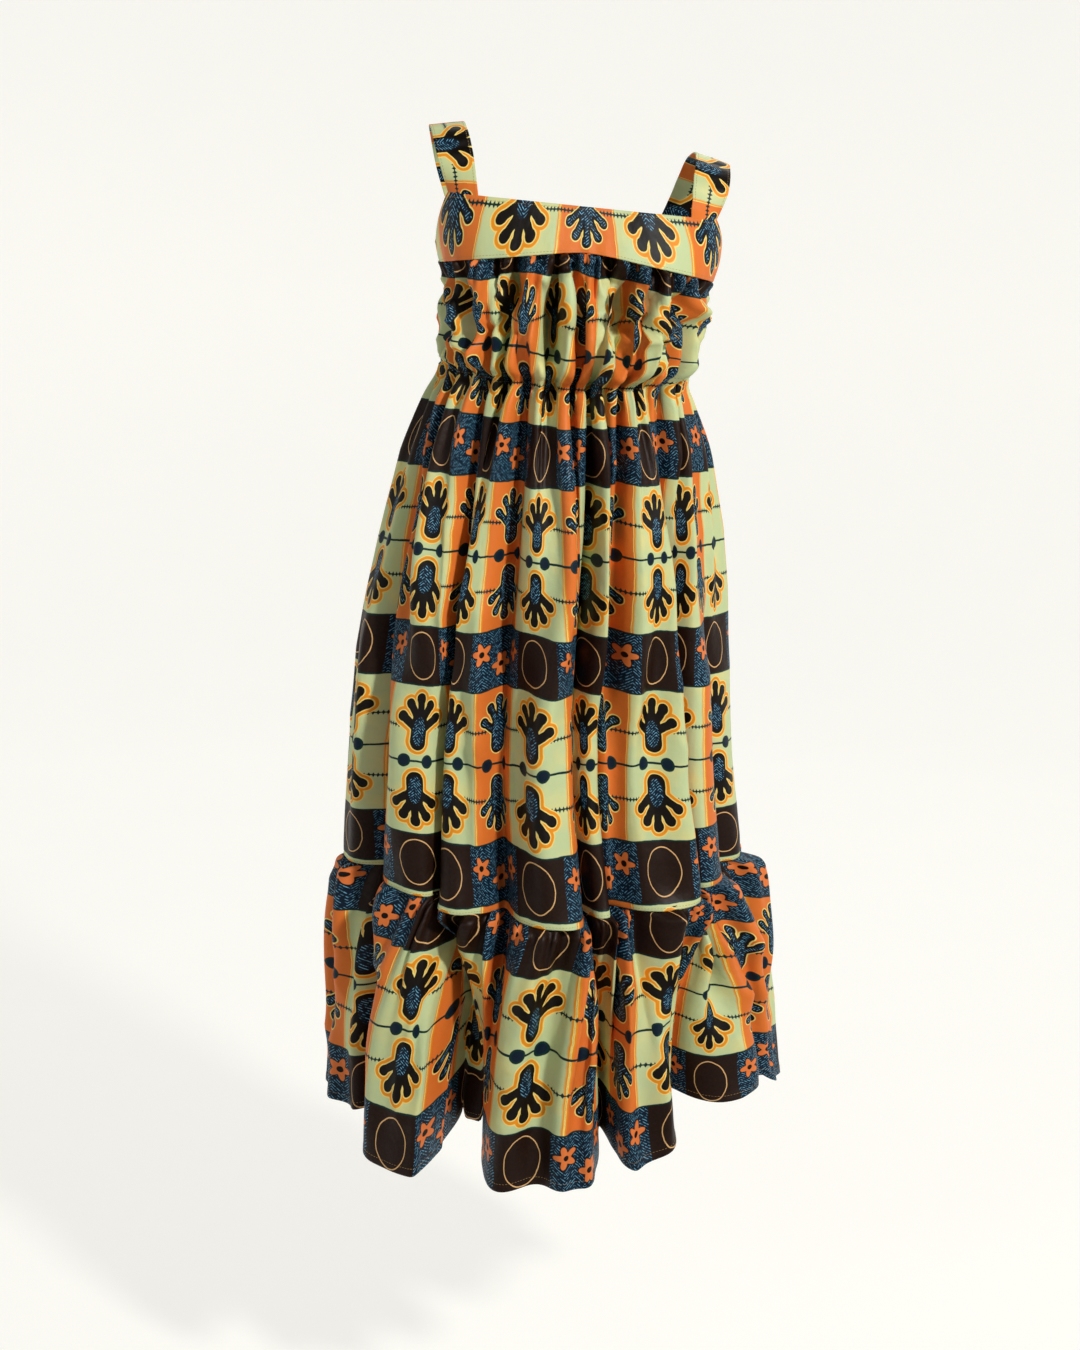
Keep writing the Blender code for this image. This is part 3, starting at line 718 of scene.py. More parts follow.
def strap_grid(side):
    """One strap: curved like the yoke at its ends, flat between, with slightly wavy edges."""
    along = np.unique(np.concatenate([np.linspace(0, 1, 140), [0.002, 0.005, 0.995, 0.998]]))
    near_edge = np.array([0.0, 0.008, 0.025, 0.05, 0.1])
    shares = np.concatenate([near_edge, np.linspace(0.2, 0.8, 7), 1 - near_edge[::-1]])
    inner, outer = strap_edge(side, False, along), strap_edge(side, True, along)
    grid = inner[:, None] + (outer - inner)[:, None] * shares[None, :, None]
    for front, from_end in ((True, along), (False, 1 - along)):
        deg = strap_end_degs(side, front, shares)
        bow = yoke_point(deg, yoke_top_z(deg) - STRAP_SINK) - grid[0 if front else -1]
        grid = grid + bow[None] * (np.clip(1 - from_end / STRAP_END_CURVE, 0.0, 1.0) ** 2)[:, None, None]
    run = run_along(grid[:, len(shares) // 2]) * MM
    cut_along, cut_across = STRAP_CUTS[side]
    place = np.zeros_like(grid)
    place[..., 0] = cut_along + run[:, None]
    place[..., 1] = cut_across + shares[None] * STRAP_WIDTH * MM
    grid, place = grid[::-1], place[::-1]
    if side < 0:
        grid, place = grid[:, ::-1], place[:, ::-1]
    spots = shares * 1.5 + 0 * along[:, None]
    ripple = 0.0009 * soft_noise(along[:, None] + 0 * shares, spots, around=22, seed=72 + side)
    return grid + outward(grid) * ripple[..., None], place


def outward(grid, closed=False):
    """Unit normals of a grid whose rows run round the body and columns run down it."""
    if closed:
        across = np.gradient(np.concatenate([grid[:, -2:-1], grid, grid[:, 1:2]], axis=1), axis=1)[:, 1:-1]
    else:
        across = np.gradient(grid, axis=1)
    normal = np.cross(np.gradient(grid, axis=0), across)
    return normal / np.linalg.norm(normal, axis=-1, keepdims=True)


def rounded(distance, radius):
    """How full the wall is near a free edge, so that the edge is round."""
    t = np.clip(distance / radius, 0.0, 1.0)
    return 0.25 + 0.75 * np.sqrt(1 - (1 - t) ** 2)


def shell(name, grid, normals, place, thickness, materials):
    """A closed thin wall of cloth about a grid of middle points."""
    down, across = grid.shape[:2]
    half = normals * np.broadcast_to(thickness, (down, across))[..., None] / 2
    outer = grid + half
    points = np.concatenate([outer.reshape(-1, 3), (grid - half).reshape(-1, 3)])
    count = down * across
    at = np.arange(count).reshape(down, across)
    skin = np.stack([at[:-1, :-1], at[1:, :-1], at[1:, 1:], at[:-1, 1:]], axis=-1).reshape(-1, 4)
    rim = np.concatenate([at[0, :-1], at[:-1, -1], at[-1, :0:-1], at[:0:-1, 0]])
    following = np.roll(rim, -1)
    edge = np.stack([rim, following, following + count, rim + count], axis=-1)
    faces = np.concatenate([skin, skin[:, ::-1] + count, edge])
    mesh = bpy.data.meshes.new(name)
    mesh.from_pydata(points, [], faces.tolist())
    mesh.shade_smooth()
    for made in materials:
        mesh.materials.append(made)
    inside = np.zeros(len(faces), np.int32)
    inside[len(skin) : 2 * len(skin)] = len(materials) - 1
    mesh.polygons.foreach_set("material_index", inside)
    where = mesh.attributes.new("cloth_place", "FLOAT_VECTOR", "POINT")
    where.data.foreach_set("vector", np.tile(place.reshape(-1, 3), (2, 1)).astype(np.float32).ravel())
    mesh.update()
    SKINS[name] = outer
    return placed(name, mesh)


# The printed cloth as a material


class TreeMaker:
    """Adds nodes to one tree. A value may be a number, a vector or another node's socket."""

    def __init__(self, tree):
        self.tree = tree

    def feed(self, socket, value):
        if isinstance(value, bpy.types.NodeSocket):
            self.tree.links.new(value, socket)
        else:
            socket.default_value = value

    def node(self, kind, inputs=(), **settings):
        made = self.tree.nodes.new(kind)
        for name, value in settings.items():
            setattr(made, name, value)
        for key, value in dict(inputs).items():
            self.feed(made.inputs[key], value)
        return made

    def math(self, operation, *values, clamp=False):
        made = self.node("ShaderNodeMath", enumerate(values), operation=operation)
        made.use_clamp = clamp
        return made.outputs[0]

    def add(self, first, second):
        return self.math("ADD", first, second)

    def less(self, first, second):
        return self.math("SUBTRACT", first, second)

    def times(self, first, second):
        return self.math("MULTIPLY", first, second)

    def scaled(self, value, factor, offset, clamp=False):
        return self.math("MULTIPLY_ADD", value, factor, offset, clamp=clamp)

    def apart(self, first, second):
        """How far two values lie apart."""
        return self.math("ABSOLUTE", self.less(first, second))

    def repeated(self, value, length):
        """How far the value lies into its own repeat."""
        return self.math("FLOORED_MODULO", value, length)

    def vector(self, operation, *values, output=0):
        return self.node("ShaderNodeVectorMath", enumerate(values), operation=operation).outputs[output]

    def point(self, x, y):
        return self.node("ShaderNodeCombineXYZ", {0: x, 1: y}).outputs[0]

    def inside(self, distance, edge=0.0, soft=0.35):
        """1 where the distance is less than edge, 0 where it is more."""
        return self.scaled(distance, -1.0 / soft, edge / soft + 0.5, clamp=True)

    def paint(self, ground, colour, mask):
        """The ground with the colour laid over it where the mask is 1."""
        made = self.node("ShaderNodeMix", data_type="RGBA")
        self.feed(made.inputs[0], mask)
        self.feed(made.inputs[6], ground)
        self.feed(made.inputs[7], colour)
        return made.outputs[2]

    def layered(self, ground, *layers):
        """The ground with each colour laid over it in turn where its mask is 1."""
        for colour, mask in layers:
            ground = self.paint(ground, colour, mask)
        return ground

    def noise(self, place, size, detail=2.0):
        """Noise from about 0.2 to 0.8 with spots of that size."""
        inputs = {"Vector": place, "Scale": 1.0 / size, "Detail": detail}
        return self.node("ShaderNodeTexNoise", inputs)

    def stroke(self, point, start, end, radius):
        """Distance from a round-ended stroke."""
        run = Vector((end[0] - start[0], end[1] - start[1], 0.0))
        from_start = self.vector("SUBTRACT", point, (*start, 0.0))
        share = self.vector("DOT_PRODUCT", from_start, tuple(run / run.length_squared), output=1)
        share = self.math("ADD", share, 0.0, clamp=True)
        nearest = self.node("ShaderNodeVectorMath", operation="SCALE")
        nearest.inputs[0].default_value = run
        self.feed(nearest.inputs["Scale"], share)
        away = self.vector("LENGTH", self.vector("SUBTRACT", from_start, nearest.outputs[0]), output=1)
        return self.less(away, radius)

    def length(self, x, y):
        return self.vector("LENGTH", self.point(x, y), output=1)


# A five-lobed leaf, in millimetres from its row's middle line: each stroke with its mirror image,
# and a round knob at the end of each lobe
LEAF_STROKES = (
    ((0.0, 21.0), (0.0, 42.0), 9.8),
    ((0.0, 46.0), (0.0, 63.0), 4.4),
    ((0.0, 64.0), (0.0, 65.5), 5.6),
    ((4.0, 44.0), (12.0, 57.5), 4.3),
    ((12.6, 58.5), (13.2, 59.5), 5.3),
    ((8.0, 36.0), (19.5, 44.5), 4.3),
    ((20.4, 45.2), (21.4, 46.0), 5.2),
)


def leaf_distance(tree, across, up):
    """Distance from the leaf's edge: less than 0 inside it."""
    point = tree.point(across, up)
    made = None
    for start, end, radius in LEAF_STROKES:
        stroke = tree.stroke(point, start, end, radius)
        made = stroke if made is None else tree.math("SMOOTH_MIN", made, stroke, 1.2)
    return made


def print_colour(tree, place, colours):
    """The whole print: light rows of leaves on green and orange, dark rows of flowers and rings."""
    wobble = tree.vector("SUBTRACT", tree.noise(place, 16.0).outputs["Color"], (0.5, 0.5, 0.5))
    wobble = tree.vector("MULTIPLY", wobble, (WOBBLE, WOBBLE, 0.0))
    moved = tree.vector("ADD", place, wobble)
    parts = tree.node("ShaderNodeSeparateXYZ", {0: moved})
    x = tree.repeated(parts.outputs[0], REPEAT_X)
    y = tree.repeated(parts.outputs[1], REPEAT_Y)
    grain = tree.noise(place, 3.2, 4.0).outputs[0]
    # The hatch mask: printed strokes that also serve as painted glints of the sheen
    hatch_and_glint = hatching_and_glints(tree, parts, grain)

    light = light_row(tree, x, y, colours, hatch_and_glint, place)
    dark = dark_row(tree, x, y, colours, hatch_and_glint, grain)
    cloth = tree.paint(dark, light, tree.inside(y, LIGHT_HEIGHT))
    borders = tree.math("MINIMUM", tree.apart(y, LIGHT_HEIGHT), y)
    borders = tree.math("MINIMUM", borders, tree.less(REPEAT_Y, y))
    return tree.paint(cloth, colours.line, tree.inside(borders, 0.9, 0.5))


def hatching_and_glints(tree, parts, grain):
    """Fine broken strokes that turn to and fro, as a mask: the print's hatching, whose bright broken strokes
    are also painted glints of the wax sheen.
    """
    turn = tree.math("PINGPONG", parts.outputs[0], HATCH_TURN)
    slope = tree.add(tree.times(turn, 0.9), parts.outputs[1])
    wave = tree.math("SINE", tree.times(slope, 2 * np.pi / HATCH_PITCH))
    strokes = tree.scaled(wave, 3.2, -1.7, clamp=True)
    broken = tree.scaled(grain, 9.0, -4.1, clamp=True)
    return tree.times(strokes, broken)


def light_row(tree, x, y, colours, hatch_and_glint, place):
    """Green and orange blocks, each with a leaf above and below a beaded line."""
    green = tree.inside(x, GREEN_WIDTH)
    up = tree.apart(y, LIGHT_HEIGHT / 2)
    middle = tree.scaled(green, GREEN_WIDTH / 2 - ORANGE_MIDDLE, ORANGE_MIDDLE)
    across = tree.apart(x, middle)
    narrowed = tree.times(across, tree.scaled(green, -0.12, 1.12))
    leaf = leaf_distance(tree, narrowed, up)

    faded = tree.scaled(tree.noise(place, 40.0).outputs[0], 1.6, -0.72, clamp=True)
    yellowed = tree.paint(colours.pale_green, colours.rim, faded)
    edge = tree.math("MINIMUM", tree.apart(x, GREEN_WIDTH), x)
    off_barbed = tree.apart(up, BARBED_LINE_UP)
    barb = tree.apart(tree.repeated(x, BARB_PITCH), BARB_PITCH / 2)
    barbs = tree.inside(tree.add(tree.times(off_barbed, 0.6), barb), 1.7, 0.6)
    bead = tree.length(tree.less(across, BEAD_ACROSS), up)
    heart = tree.length(tree.times(across, 1.9), tree.less(up, HEART_UP))
    green_heart = tree.times(green, tree.inside(heart, HEART_RADIUS, 1.0))
    orange_heart = tree.times(tree.less(1.0, green), tree.inside(leaf, -2.3))
    return tree.layered(
        colours.orange,
        (yellowed, green),
        (colours.halo, tree.inside(edge, 2.2, 1.6)),
        (colours.rim, tree.inside(edge, 0.7, 0.5)),
        (colours.line, tree.math("MAXIMUM", barbs, tree.inside(off_barbed, 0.75))),
        (colours.line, tree.inside(up, 1.15)),
        (colours.line, tree.inside(bead, BEAD_RADIUS)),
        (colours.blue, tree.inside(bead, BEAD_BLUE_RADIUS)),
        (colours.rim, tree.times(green, tree.inside(leaf, 5.2))),
        (colours.halo, tree.times(green, tree.inside(leaf, 4.2, 0.8))),
        (colours.rim, tree.inside(leaf, 1.1, 0.7)),
        (colours.brown, tree.inside(leaf)),
        # Hatch on the hearts: print, and painted glints of the wax sheen
        (tree.paint(colours.blue, colours.hatch_and_glint, hatch_and_glint), tree.math("MAXIMUM", green_heart, orange_heart)),
    )


def dark_row(tree, x, y, colours, hatch_and_glint, grain):
    """Blue blocks with three flowers and brown blocks with a ring, half a repeat along."""
    shifted = tree.repeated(tree.add(x, REPEAT_X / 2), REPEAT_X)
    blue = tree.inside(shifted, GREEN_WIDTH)
    up = tree.less(y, (LIGHT_HEIGHT + REPEAT_Y) / 2)
    from_middle = tree.apart(shifted, GREEN_WIDTH / 2)
    outer = tree.math("GREATER_THAN", from_middle, FLOWER_SPACING / 2)
    flower_x = tree.less(from_middle, tree.times(outer, FLOWER_SPACING))
    flower_y = tree.add(up, tree.scaled(outer, FLOWER_RISE, -FLOWER_RISE / 2))
    away = tree.length(flower_x, flower_y)
    angle = tree.math("ARCTAN2", flower_y, flower_x)
    petals = tree.math("COSINE", tree.times(angle, 5.0))
    flower = tree.less(away, tree.scaled(petals, PETAL_SWING, FLOWER_RADIUS))

    bloom = tree.layered(
        colours.blue,
        # Hatch on the blue blocks: print, and painted glints of the wax sheen
        (colours.hatch_and_glint, tree.times(hatch_and_glint, 0.8)),
        (colours.brown, tree.inside(flower, 1.5)),
        (colours.flower, tree.inside(flower, 0.0, 0.6)),
        (colours.brown, tree.inside(away, FLOWER_EYE_RADIUS)),
    )
    wide = tree.times(tree.less(shifted, ORANGE_MIDDLE), 1.3)
    ring_distance = tree.apart(tree.length(wide, up), RING_RADIUS)
    return tree.layered(
        colours.brown,
        (colours.flower, tree.times(grain, 0.03)),
        (colours.ring, tree.inside(ring_distance, 0.6, 0.5)),
        (bloom, blue),
    )


def print_group(colours):
    """The print as a node group, made once: a place on the cloth in, a colour out."""
    group = bpy.data.node_groups.get("wax_print")
    if group:
        return group
    group = bpy.data.node_groups.new("wax_print", "ShaderNodeTree")
    group.interface.new_socket("Place", in_out="INPUT", socket_type="NodeSocketVector")
    group.interface.new_socket("Colour", in_out="OUTPUT", socket_type="NodeSocketColor")
    tree = TreeMaker(group)
    place = tree.node("NodeGroupInput").outputs[0]
    tree.feed(tree.node("NodeGroupOutput").inputs[0], print_colour(tree, place, colours))
    return group


def cloth_material(name, colours, inside=False):
    """Printed cotton with a plain weave, a slight crinkle and a little wax sheen."""
    made = bpy.data.materials.get(name)
    if made:
        return made
    made = bpy.data.materials.new(name)
    made.use_nodes = True
    tree = TreeMaker(made.node_tree)
    shader = made.node_tree.nodes["Principled BSDF"]
    place = tree.node("ShaderNodeAttribute", attribute_name="cloth_place").outputs["Vector"]
    printed = tree.node("ShaderNodeGroup", node_tree=print_group(colours))
    tree.feed(printed.inputs[0], place)
    colour = printed.outputs[0]
    if inside:
        # The inside skin's print is less saturated and a little darker
        duller_darker = tree.node("ShaderNodeHueSaturation", {"Saturation": 0.8, "Value": 0.9, "Color": colour})
        colour = duller_darker.outputs[0]
    tree.feed(shader.inputs["Base Color"], colour)

    parts = tree.node("ShaderNodeSeparateXYZ", {0: place})
    waves = [tree.times(parts.outputs[i], 2 * np.pi / WEAVE_PITCH) for i in (0, 1)]
    weave = tree.times(*(tree.math("SINE", wave) for wave in waves))
    crinkle = tree.noise(place, CRINKLE_SIZE, 3.0).outputs[0]
    tree.feed(shader.inputs["Roughness"], tree.scaled(crinkle, 0.22, 0.40))
    fine = tree.node("ShaderNodeBump", {"Strength": 0.25, "Distance": 0.00004, "Height": weave})
    bump = tree.node(
        "ShaderNodeBump",
        {"Strength": 0.55, "Distance": 0.0012, "Height": crinkle, "Normal": fine.outputs[0]},
    )
    tree.feed(shader.inputs["Normal"], bump.outputs[0])
    shader.inputs["Metallic"].default_value = 0.0
    shader.inputs["Specular IOR Level"].default_value = 0.22
    return made


def plain_material(name, colour, roughness, grain_size):
    """A plain colour with a fine uneven surface, such as thread or a painted floor."""
    made = bpy.data.materials.new(name)
    made.use_nodes = True
    tree = TreeMaker(made.node_tree)
    shader = made.node_tree.nodes["Principled BSDF"]
    shader.inputs["Roughness"].default_value = roughness
    place = tree.node("ShaderNodeTexCoord").outputs["Object"]
    grain = tree.noise(place, grain_size, 3.0).outputs[0]
    darker = tuple(c * 0.94 for c in colour[:3]) + (1.0,)
    tree.feed(shader.inputs["Base Color"], tree.paint(tuple(colour), darker, grain))
    return made


# The pieces


def dressed(piece, node):
    """Puts a piece of cloth in its solid's place, under the root, and hides the solid."""
    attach(piece, "root")
    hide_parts(node)


def make_halves(grid, places, thickness, names, colours):
    """The front and back of a closed loop of cloth, parted at the side seams."""
    inside = cloth_material("printed_cotton_inside", colours, inside=True)
    materials = (cloth_material("printed_cotton", colours), inside)
    normals = outward(grid, closed=True)
    half = grid.shape[1] // 2
    made = []
    for i, name in enumerate(names):
        part = slice(i * half, (i + 1) * half + 1)
        made.append(shell(name, grid[:, part], normals[:, part], places[i], thickness, materials))
    SKINS[names[0] + "_loop"] = grid + normals * np.broadcast_to(thickness, grid.shape[:2])[..., None] / 2
    return made


def make_gathered(context, part, shape, edge):
    """The front and back of the panels or the ruffle, gathered to the pieces above."""
    grid, places, lengths = shape
    thickness = context.scene.sundress_cloth.cloth_thickness * edge[:, None]
    names = (f"front_{part}_cloth", f"back_{part}_cloth")
    made = make_halves(grid, places, thickness, names, context.scene.sundress_print)
    for piece, half, width in zip(made, ("front", "back"), lengths):
        dressed(piece, f"{half}_{part}")


class SUNDRESS_OT_yoke(bpy.types.Operator):
    """Make the front and back yoke bands"""

    bl_idname = "sundress.yoke"
    bl_label = "Yoke bands"

    def execute(self, context):
        cloth, colours = context.scene.sundress_cloth, context.scene.sundress_print
        grid, places = yoke_grid()
        down = run_down(grid)
        edge = rounded(down, EDGE_RADIUS) * rounded(down[-1] - down, EDGE_RADIUS)
        thickness = cloth.band_thickness * edge[:, None]
        names = ("front_yoke_cloth", "back_yoke_cloth")
        front, back = make_halves(grid, places, thickness, names, colours)
        dressed(front, "front_yoke")
        dressed(back, "back_yoke")
        return {"FINISHED"}


class SUNDRESS_OT_straps(bpy.types.Operator):
    """Make the two shoulder straps"""

    bl_idname = "sundress.straps"
    bl_label = "Shoulder straps"

    def execute(self, context):
        cloth, colours = context.scene.sundress_cloth, context.scene.sundress_print
        materials = (cloth_material("printed_cotton", colours),)
        for node, side in (("strap_right", -1), ("strap_left", 1)):
            grid, place = strap_grid(side)
            from_edge = np.linalg.norm(grid - grid[:, :1], axis=-1)
            to_edge = np.linalg.norm(grid - grid[:, -1:], axis=-1)
            thickness = cloth.band_thickness * rounded(from_edge, EDGE_RADIUS)
            thickness = thickness * rounded(to_edge, EDGE_RADIUS)
            piece = shell(node + "_cloth", grid, outward(grid), place, thickness, materials)
            dressed(piece, node)
        return {"FINISHED"}


class SUNDRESS_OT_panels(bpy.types.Operator):
    """Make the gathered front and back panels"""

    bl_idname = "sundress.panels"
    bl_label = "Gathered panels"

    def execute(self, context):
        shape = panel_grid(context.scene.sundress_cloth.panel_columns)
        down = run_down(shape[0])
        edge = rounded(down[-1] - down, SEAM_EDGE_RADIUS)
        make_gathered(context, "panel", shape, edge)
        return {"FINISHED"}


class SUNDRESS_OT_ruffle(bpy.types.Operator):
    """Make the gathered hem ruffle, front and back"""

    bl_idname = "sundress.ruffle"
    bl_label = "Hem ruffle"

    def execute(self, context):
        cloth = context.scene.sundress_cloth
        shape = ruffle_grid(cloth.ruffle_columns)
        down = run_down(shape[0])
        to_hem = down[-1] - down
        turned = 1 + 0.9 / (1 + np.exp((to_hem - cloth.hem_width) / 0.0004))
        edge = turned * rounded(to_hem, EDGE_RADIUS)
        make_gathered(context, "ruffle", shape, edge)
        return {"FINISHED"}


def stitch_tree():
    """Nodes that lay small round-ended stitches along a line."""
    group = bpy.data.node_groups.get("stitch_row")
    if group:
        return group
    group = bpy.data.node_groups.new("stitch_row", "GeometryNodeTree")
    group.interface.new_socket("Geometry", in_out="INPUT", socket_type="NodeSocketGeometry")
    for name in ("Pitch", "Length", "Thread"):
        group.interface.new_socket(name, in_out="INPUT", socket_type="NodeSocketFloat")
    group.interface.new_socket("Material", in_out="INPUT", socket_type="NodeSocketMaterial")
    group.interface.new_socket("Geometry", in_out="OUTPUT", socket_type="NodeSocketGeometry")
    tree = TreeMaker(group)
    given = tree.node("NodeGroupInput").outputs
    line = tree.node("GeometryNodeMeshToCurve", {"Mesh": given["Geometry"]}).outputs[0]
    spacing = {"Curve": line, "Length": given["Pitch"]}
    even = tree.node("GeometryNodeResampleCurve", spacing, mode="LENGTH").outputs[0]
    way = tree.node("GeometryNodeInputTangent").outputs[0]
    turn = tree.node("FunctionNodeAlignRotationToVector", {"Vector": way}, axis="Z").outputs[0]
    bead = tree.node("GeometryNodeMeshUVSphere", {"Segments": 6, "Rings": 4, "Radius": 1.0}).outputs[0]
    sizes = {0: given["Thread"], 1: given["Thread"], 2: tree.times(given["Length"], 0.5)}
    size = tree.node("ShaderNodeCombineXYZ", sizes).outputs[0]
    laid = {"Points": even, "Instance": bead, "Rotation": turn, "Scale": size}
    beads = tree.node("GeometryNodeInstanceOnPoints", laid).outputs[0]
    real = tree.node("GeometryNodeRealizeInstances", {"Geometry": beads}).outputs[0]
    finish = tree.node("GeometryNodeSetMaterial", {"Geometry": real, "Material": given["Material"]})
    tree.node("NodeGroupOutput", {"Geometry": finish.outputs[0]})
    return group


def stitched(name, lines, sizes, thread):
    """A piece of stitching along lines of points that lie on the cloth."""
    points, edges = [], []
    for line in lines:
        first = len(points)
        points += line.tolist()
        edges += [(first + i, first + i + 1) for i in range(len(line) - 1)]
    mesh = bpy.data.meshes.new(name + "_line")
    mesh.from_pydata(points, edges, [])
    guide = placed(name + "_line", mesh)
    modifier = guide.modifiers.new("Stitches", "NODES")
    modifier.node_group = stitch_tree()
    values = {"Pitch": sizes.pitch, "Length": sizes.length, "Thread": sizes.thread, "Material": thread}
    for item in modifier.node_group.interface.items_tree:
        if item.in_out == "INPUT" and item.name in values:
            modifier[item.identifier] = values[item.name]
    bpy.context.view_layer.update()
    graph = bpy.context.evaluated_depsgraph_get()
    piece = placed(name, bpy.data.meshes.new_from_object(guide.evaluated_get(graph)))
    bpy.data.objects.remove(guide, do_unlink=True)
    piece.data.name = name
    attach(piece, "root")
    return piece


def line_at(loop, distance, from_top=True):
    """The line on a skin that runs that far from its upper or lower edge."""
    run = run_down(loop)
    wanted = distance if from_top else run[-1] - distance
    i = int(np.clip(np.searchsorted(run, wanted), 1, len(run) - 1))
    t = (wanted - run[i - 1]) / (run[i] - run[i - 1])
    return loop[i - 1] * (1 - t) + loop[i] * t


def line_near(loop, z):
    """The line round a skin that comes nearest to a level at the centre front."""
    return loop[np.abs(loop[:, loop.shape[1] // 4, 2] - z).argmin()]


class SUNDRESS_OT_stitching(bpy.types.Operator):
    """Sew the stitching along the yoke, straps, waist, ruffle seam and hem"""

    bl_idname = "sundress.stitching"
    bl_label = "Stitching"

    def execute(self, context):
        scene = context.scene
        sizes, cloth = scene.sundress_stitch, scene.sundress_cloth
        thread = plain_material("sewing_thread", sizes.colour, 0.6, 0.0006)
        yoke, panel = SKINS["front_yoke_cloth_loop"], SKINS["front_panel_cloth_loop"]
        yoke_lines = [line_at(yoke, EDGE_INSET), line_at(yoke, SEAM_INSET, from_top=False)]
        strap_lines = []
        for node in ("strap_right_cloth", "strap_left_cloth"):
            skin = np.swapaxes(SKINS[node], 0, 1)
            strap_lines += [line_at(skin, EDGE_INSET), line_at(skin, EDGE_INSET, from_top=False)]
        panel_lines = [line_at(panel, SEAM_INSET, from_top=False)]
        panel_lines += [line_near(panel, WAIST_Z + side * CASING_HALF) for side in (-1, 1)]
        hem = line_at(SKINS["front_ruffle_cloth_loop"], cloth.hem_width - 0.001, from_top=False)
        for name, slot, lines in (
            ("yoke_stitching", "band_print", yoke_lines),
            ("strap_stitching", "band_print", strap_lines),
            ("panel_stitching", "panel_print", panel_lines),
            ("hem_stitching", "ruffle_print", [hem]),
        ):
            stitched(name, lines, sizes, thread)
        return {"FINISHED"}


# The studio


# Each lamp's share of the main light's power
Lamp = namedtuple("Lamp", "name place size share colour")
LAMPS = (
    Lamp("key_light", (1.7, -2.7, 1.7), 0.4, 1.0, (1.0, 0.98, 0.94)),
    Lamp("fill_light", (-2.2, -2.6, 0.6), 0.9, 0.10, (0.97, 0.99, 1.0)),
    Lamp("back_light", (0.6, 1.9, 1.6), 1.4, 0.20, (1.0, 0.99, 0.96)),
)
LAMPS_AIM = Vector((0.0, 0.0, -0.5))
AIR_GLOW = 0.02
FLOOR_RADIUS = 3.0
FLOOR_BEND = 1.0
WALL_HEIGHT = 3.4
FLOOR_SIDES = 72
# The pale wall's own light: even behind the dress, faint in front so that the folds stay dark
BACKDROP_GLOW = 0.68
FRONT_GLOW = 0.04


def add_lamp(lamp, power):
    light = bpy.data.lights.new(lamp.name, "AREA")
    light.shape = "DISK"
    light.size = lamp.size
    light.energy = power * lamp.share
    light.color = lamp.colour
    item = placed(lamp.name, light)
    item.location = lamp.place
    item.rotation_euler = (LAMPS_AIM - Vector(lamp.place)).to_track_quat("-Z", "Y").to_euler()


def backdrop(level, colour):
    """A round floor that curves up into a wall on all sides."""
    turns = np.linspace(0, np.pi / 2, 12)
    profile = [(FLOOR_RADIUS * share, 0.0) for share in (0.04, 0.3, 0.6)]
    profile += [(FLOOR_RADIUS + FLOOR_BEND * np.sin(t), FLOOR_BEND * (1 - np.cos(t))) for t in turns]
    profile.append((FLOOR_RADIUS + FLOOR_BEND, WALL_HEIGHT))
    around = np.linspace(0, 2 * np.pi, FLOOR_SIDES, endpoint=False)
    points = [(r * np.cos(a), r * np.sin(a), level + z) for r, z in profile for a in around]
    at = np.arange(len(points)).reshape(len(profile), FLOOR_SIDES)
    beside = np.roll(at, -1, axis=1)
    sides = np.stack([at[:-1], beside[:-1], beside[1:], at[1:]], axis=-1).reshape(-1, 4)
    middle = at[0, ::-1].tolist()
    faces = sides.tolist() + [middle]
    mesh = bpy.data.meshes.new("studio_floor")
    mesh.from_pydata(points, [], faces)
    mesh.shade_smooth()
    pale = plain_material("pale_floor", colour, 0.9, 0.2)
    shader = pale.node_tree.nodes["Principled BSDF"]
    shader.inputs["Emission Color"].default_value = (1.0, 0.99, 0.95, 1.0)
    tree = TreeMaker(pale.node_tree)
    place = tree.node("ShaderNodeTexCoord").outputs["Object"]
    parts = tree.node("ShaderNodeSeparateXYZ", {0: place})
    behind = tree.scaled(parts.outputs[1], 2.0, 1.2, clamp=True)
    glow = tree.scaled(behind, BACKDROP_GLOW - FRONT_GLOW, FRONT_GLOW)
    tree.feed(shader.inputs["Emission Strength"], glow)
    mesh.materials.append(pale)
    placed("studio_floor", mesh)


# The camera's place before the dress's turn, in metres and degrees
CAMERA_PLACE = Vector((-0.025, -2.5, -0.01))
CAMERA_TURN = -5.0
CAMERA_DOWN = 12.45
CAMERA_ROLL = 1.6
CAMERA_LENS = 63.41


def camera():
    data = bpy.data.cameras.new("camera")
    data.sensor_width = 36.0
    data.lens = CAMERA_LENS
    item = placed("camera", data)
    turn = Matrix.Rotation(np.radians(CAMERA_TURN), 4, "Z")
    pitch = Matrix.Rotation(np.radians(90.0 - CAMERA_DOWN), 4, "X")
    roll = Matrix.Rotation(np.radians(CAMERA_ROLL), 4, "Z")
    item.matrix_world = turn @ Matrix.Translation(CAMERA_PLACE) @ pitch @ roll
    bpy.context.scene.camera = item


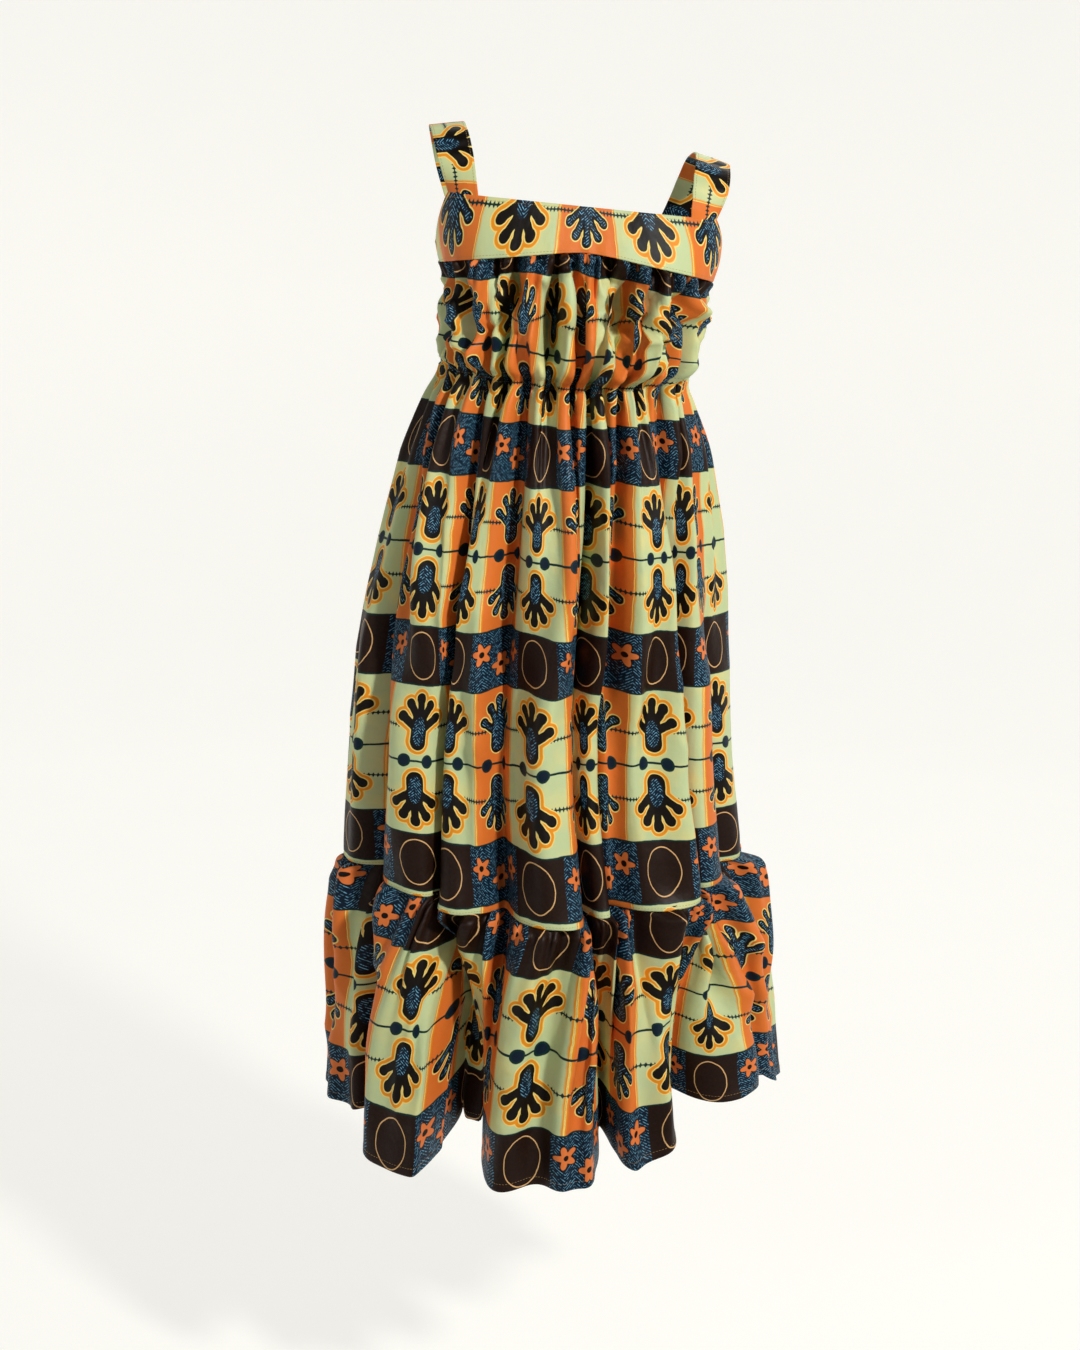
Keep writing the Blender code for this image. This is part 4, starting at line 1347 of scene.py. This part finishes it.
class SUNDRESS_OT_studio(bpy.types.Operator):
    """Set up the floor, the lights and the camera"""

    bl_idname = "sundress.studio"
    bl_label = "Studio"

    def execute(self, context):
        studio = context.scene.sundress_studio
        backdrop(studio.floor_level, studio.floor_colour)
        for lamp in LAMPS:
            add_lamp(lamp, studio.key_power)
        world = bpy.data.worlds.new("studio_air")
        world.use_nodes = True
        air = world.node_tree.nodes["Background"]
        air.inputs[0].default_value = (1.0, 0.99, 0.97, 1.0)
        air.inputs[1].default_value = AIR_GLOW
        context.scene.world = world
        context.scene.view_settings.view_transform = "Standard"
        camera()
        return {"FINISHED"}


class SUNDRESS_PT_panel(bpy.types.Panel):
    """The sundress's pieces and sizes"""

    bl_idname = "SUNDRESS_PT_panel"
    bl_label = "Sundress"
    bl_space_type = "VIEW_3D"
    bl_region_type = "UI"
    bl_category = "Sundress"

    def draw(self, context):
        for operator in OPERATORS:
            self.layout.operator(operator.bl_idname)
        for group in GROUPS:
            settings = getattr(context.scene, GROUPS[group])
            for name in group.__annotations__:
                self.layout.prop(settings, name)


OPERATORS = (
    SUNDRESS_OT_yoke,
    SUNDRESS_OT_straps,
    SUNDRESS_OT_panels,
    SUNDRESS_OT_ruffle,
    SUNDRESS_OT_stitching,
    SUNDRESS_OT_studio,
)
GROUPS = {
    ClothSizes: "sundress_cloth",
    PrintColours: "sundress_print",
    StitchSizes: "sundress_stitch",
    StudioSettings: "sundress_studio",
}


def register():
    for item in (*GROUPS, *OPERATORS, SUNDRESS_PT_panel):
        bpy.utils.register_class(item)
    for group, name in GROUPS.items():
        setattr(bpy.types.Scene, name, PointerProperty(type=group))


def unregister():
    for name in GROUPS.values():
        delattr(bpy.types.Scene, name)
    for item in reversed((*GROUPS, *OPERATORS, SUNDRESS_PT_panel)):
        bpy.utils.unregister_class(item)


def main():
    register()
    bpy.ops.sundress.yoke()
    bpy.ops.sundress.straps()
    bpy.ops.sundress.panels()
    bpy.ops.sundress.ruffle()
    bpy.ops.sundress.stitching()
    bpy.ops.sundress.studio()


if __name__ == "__main__":
    main()
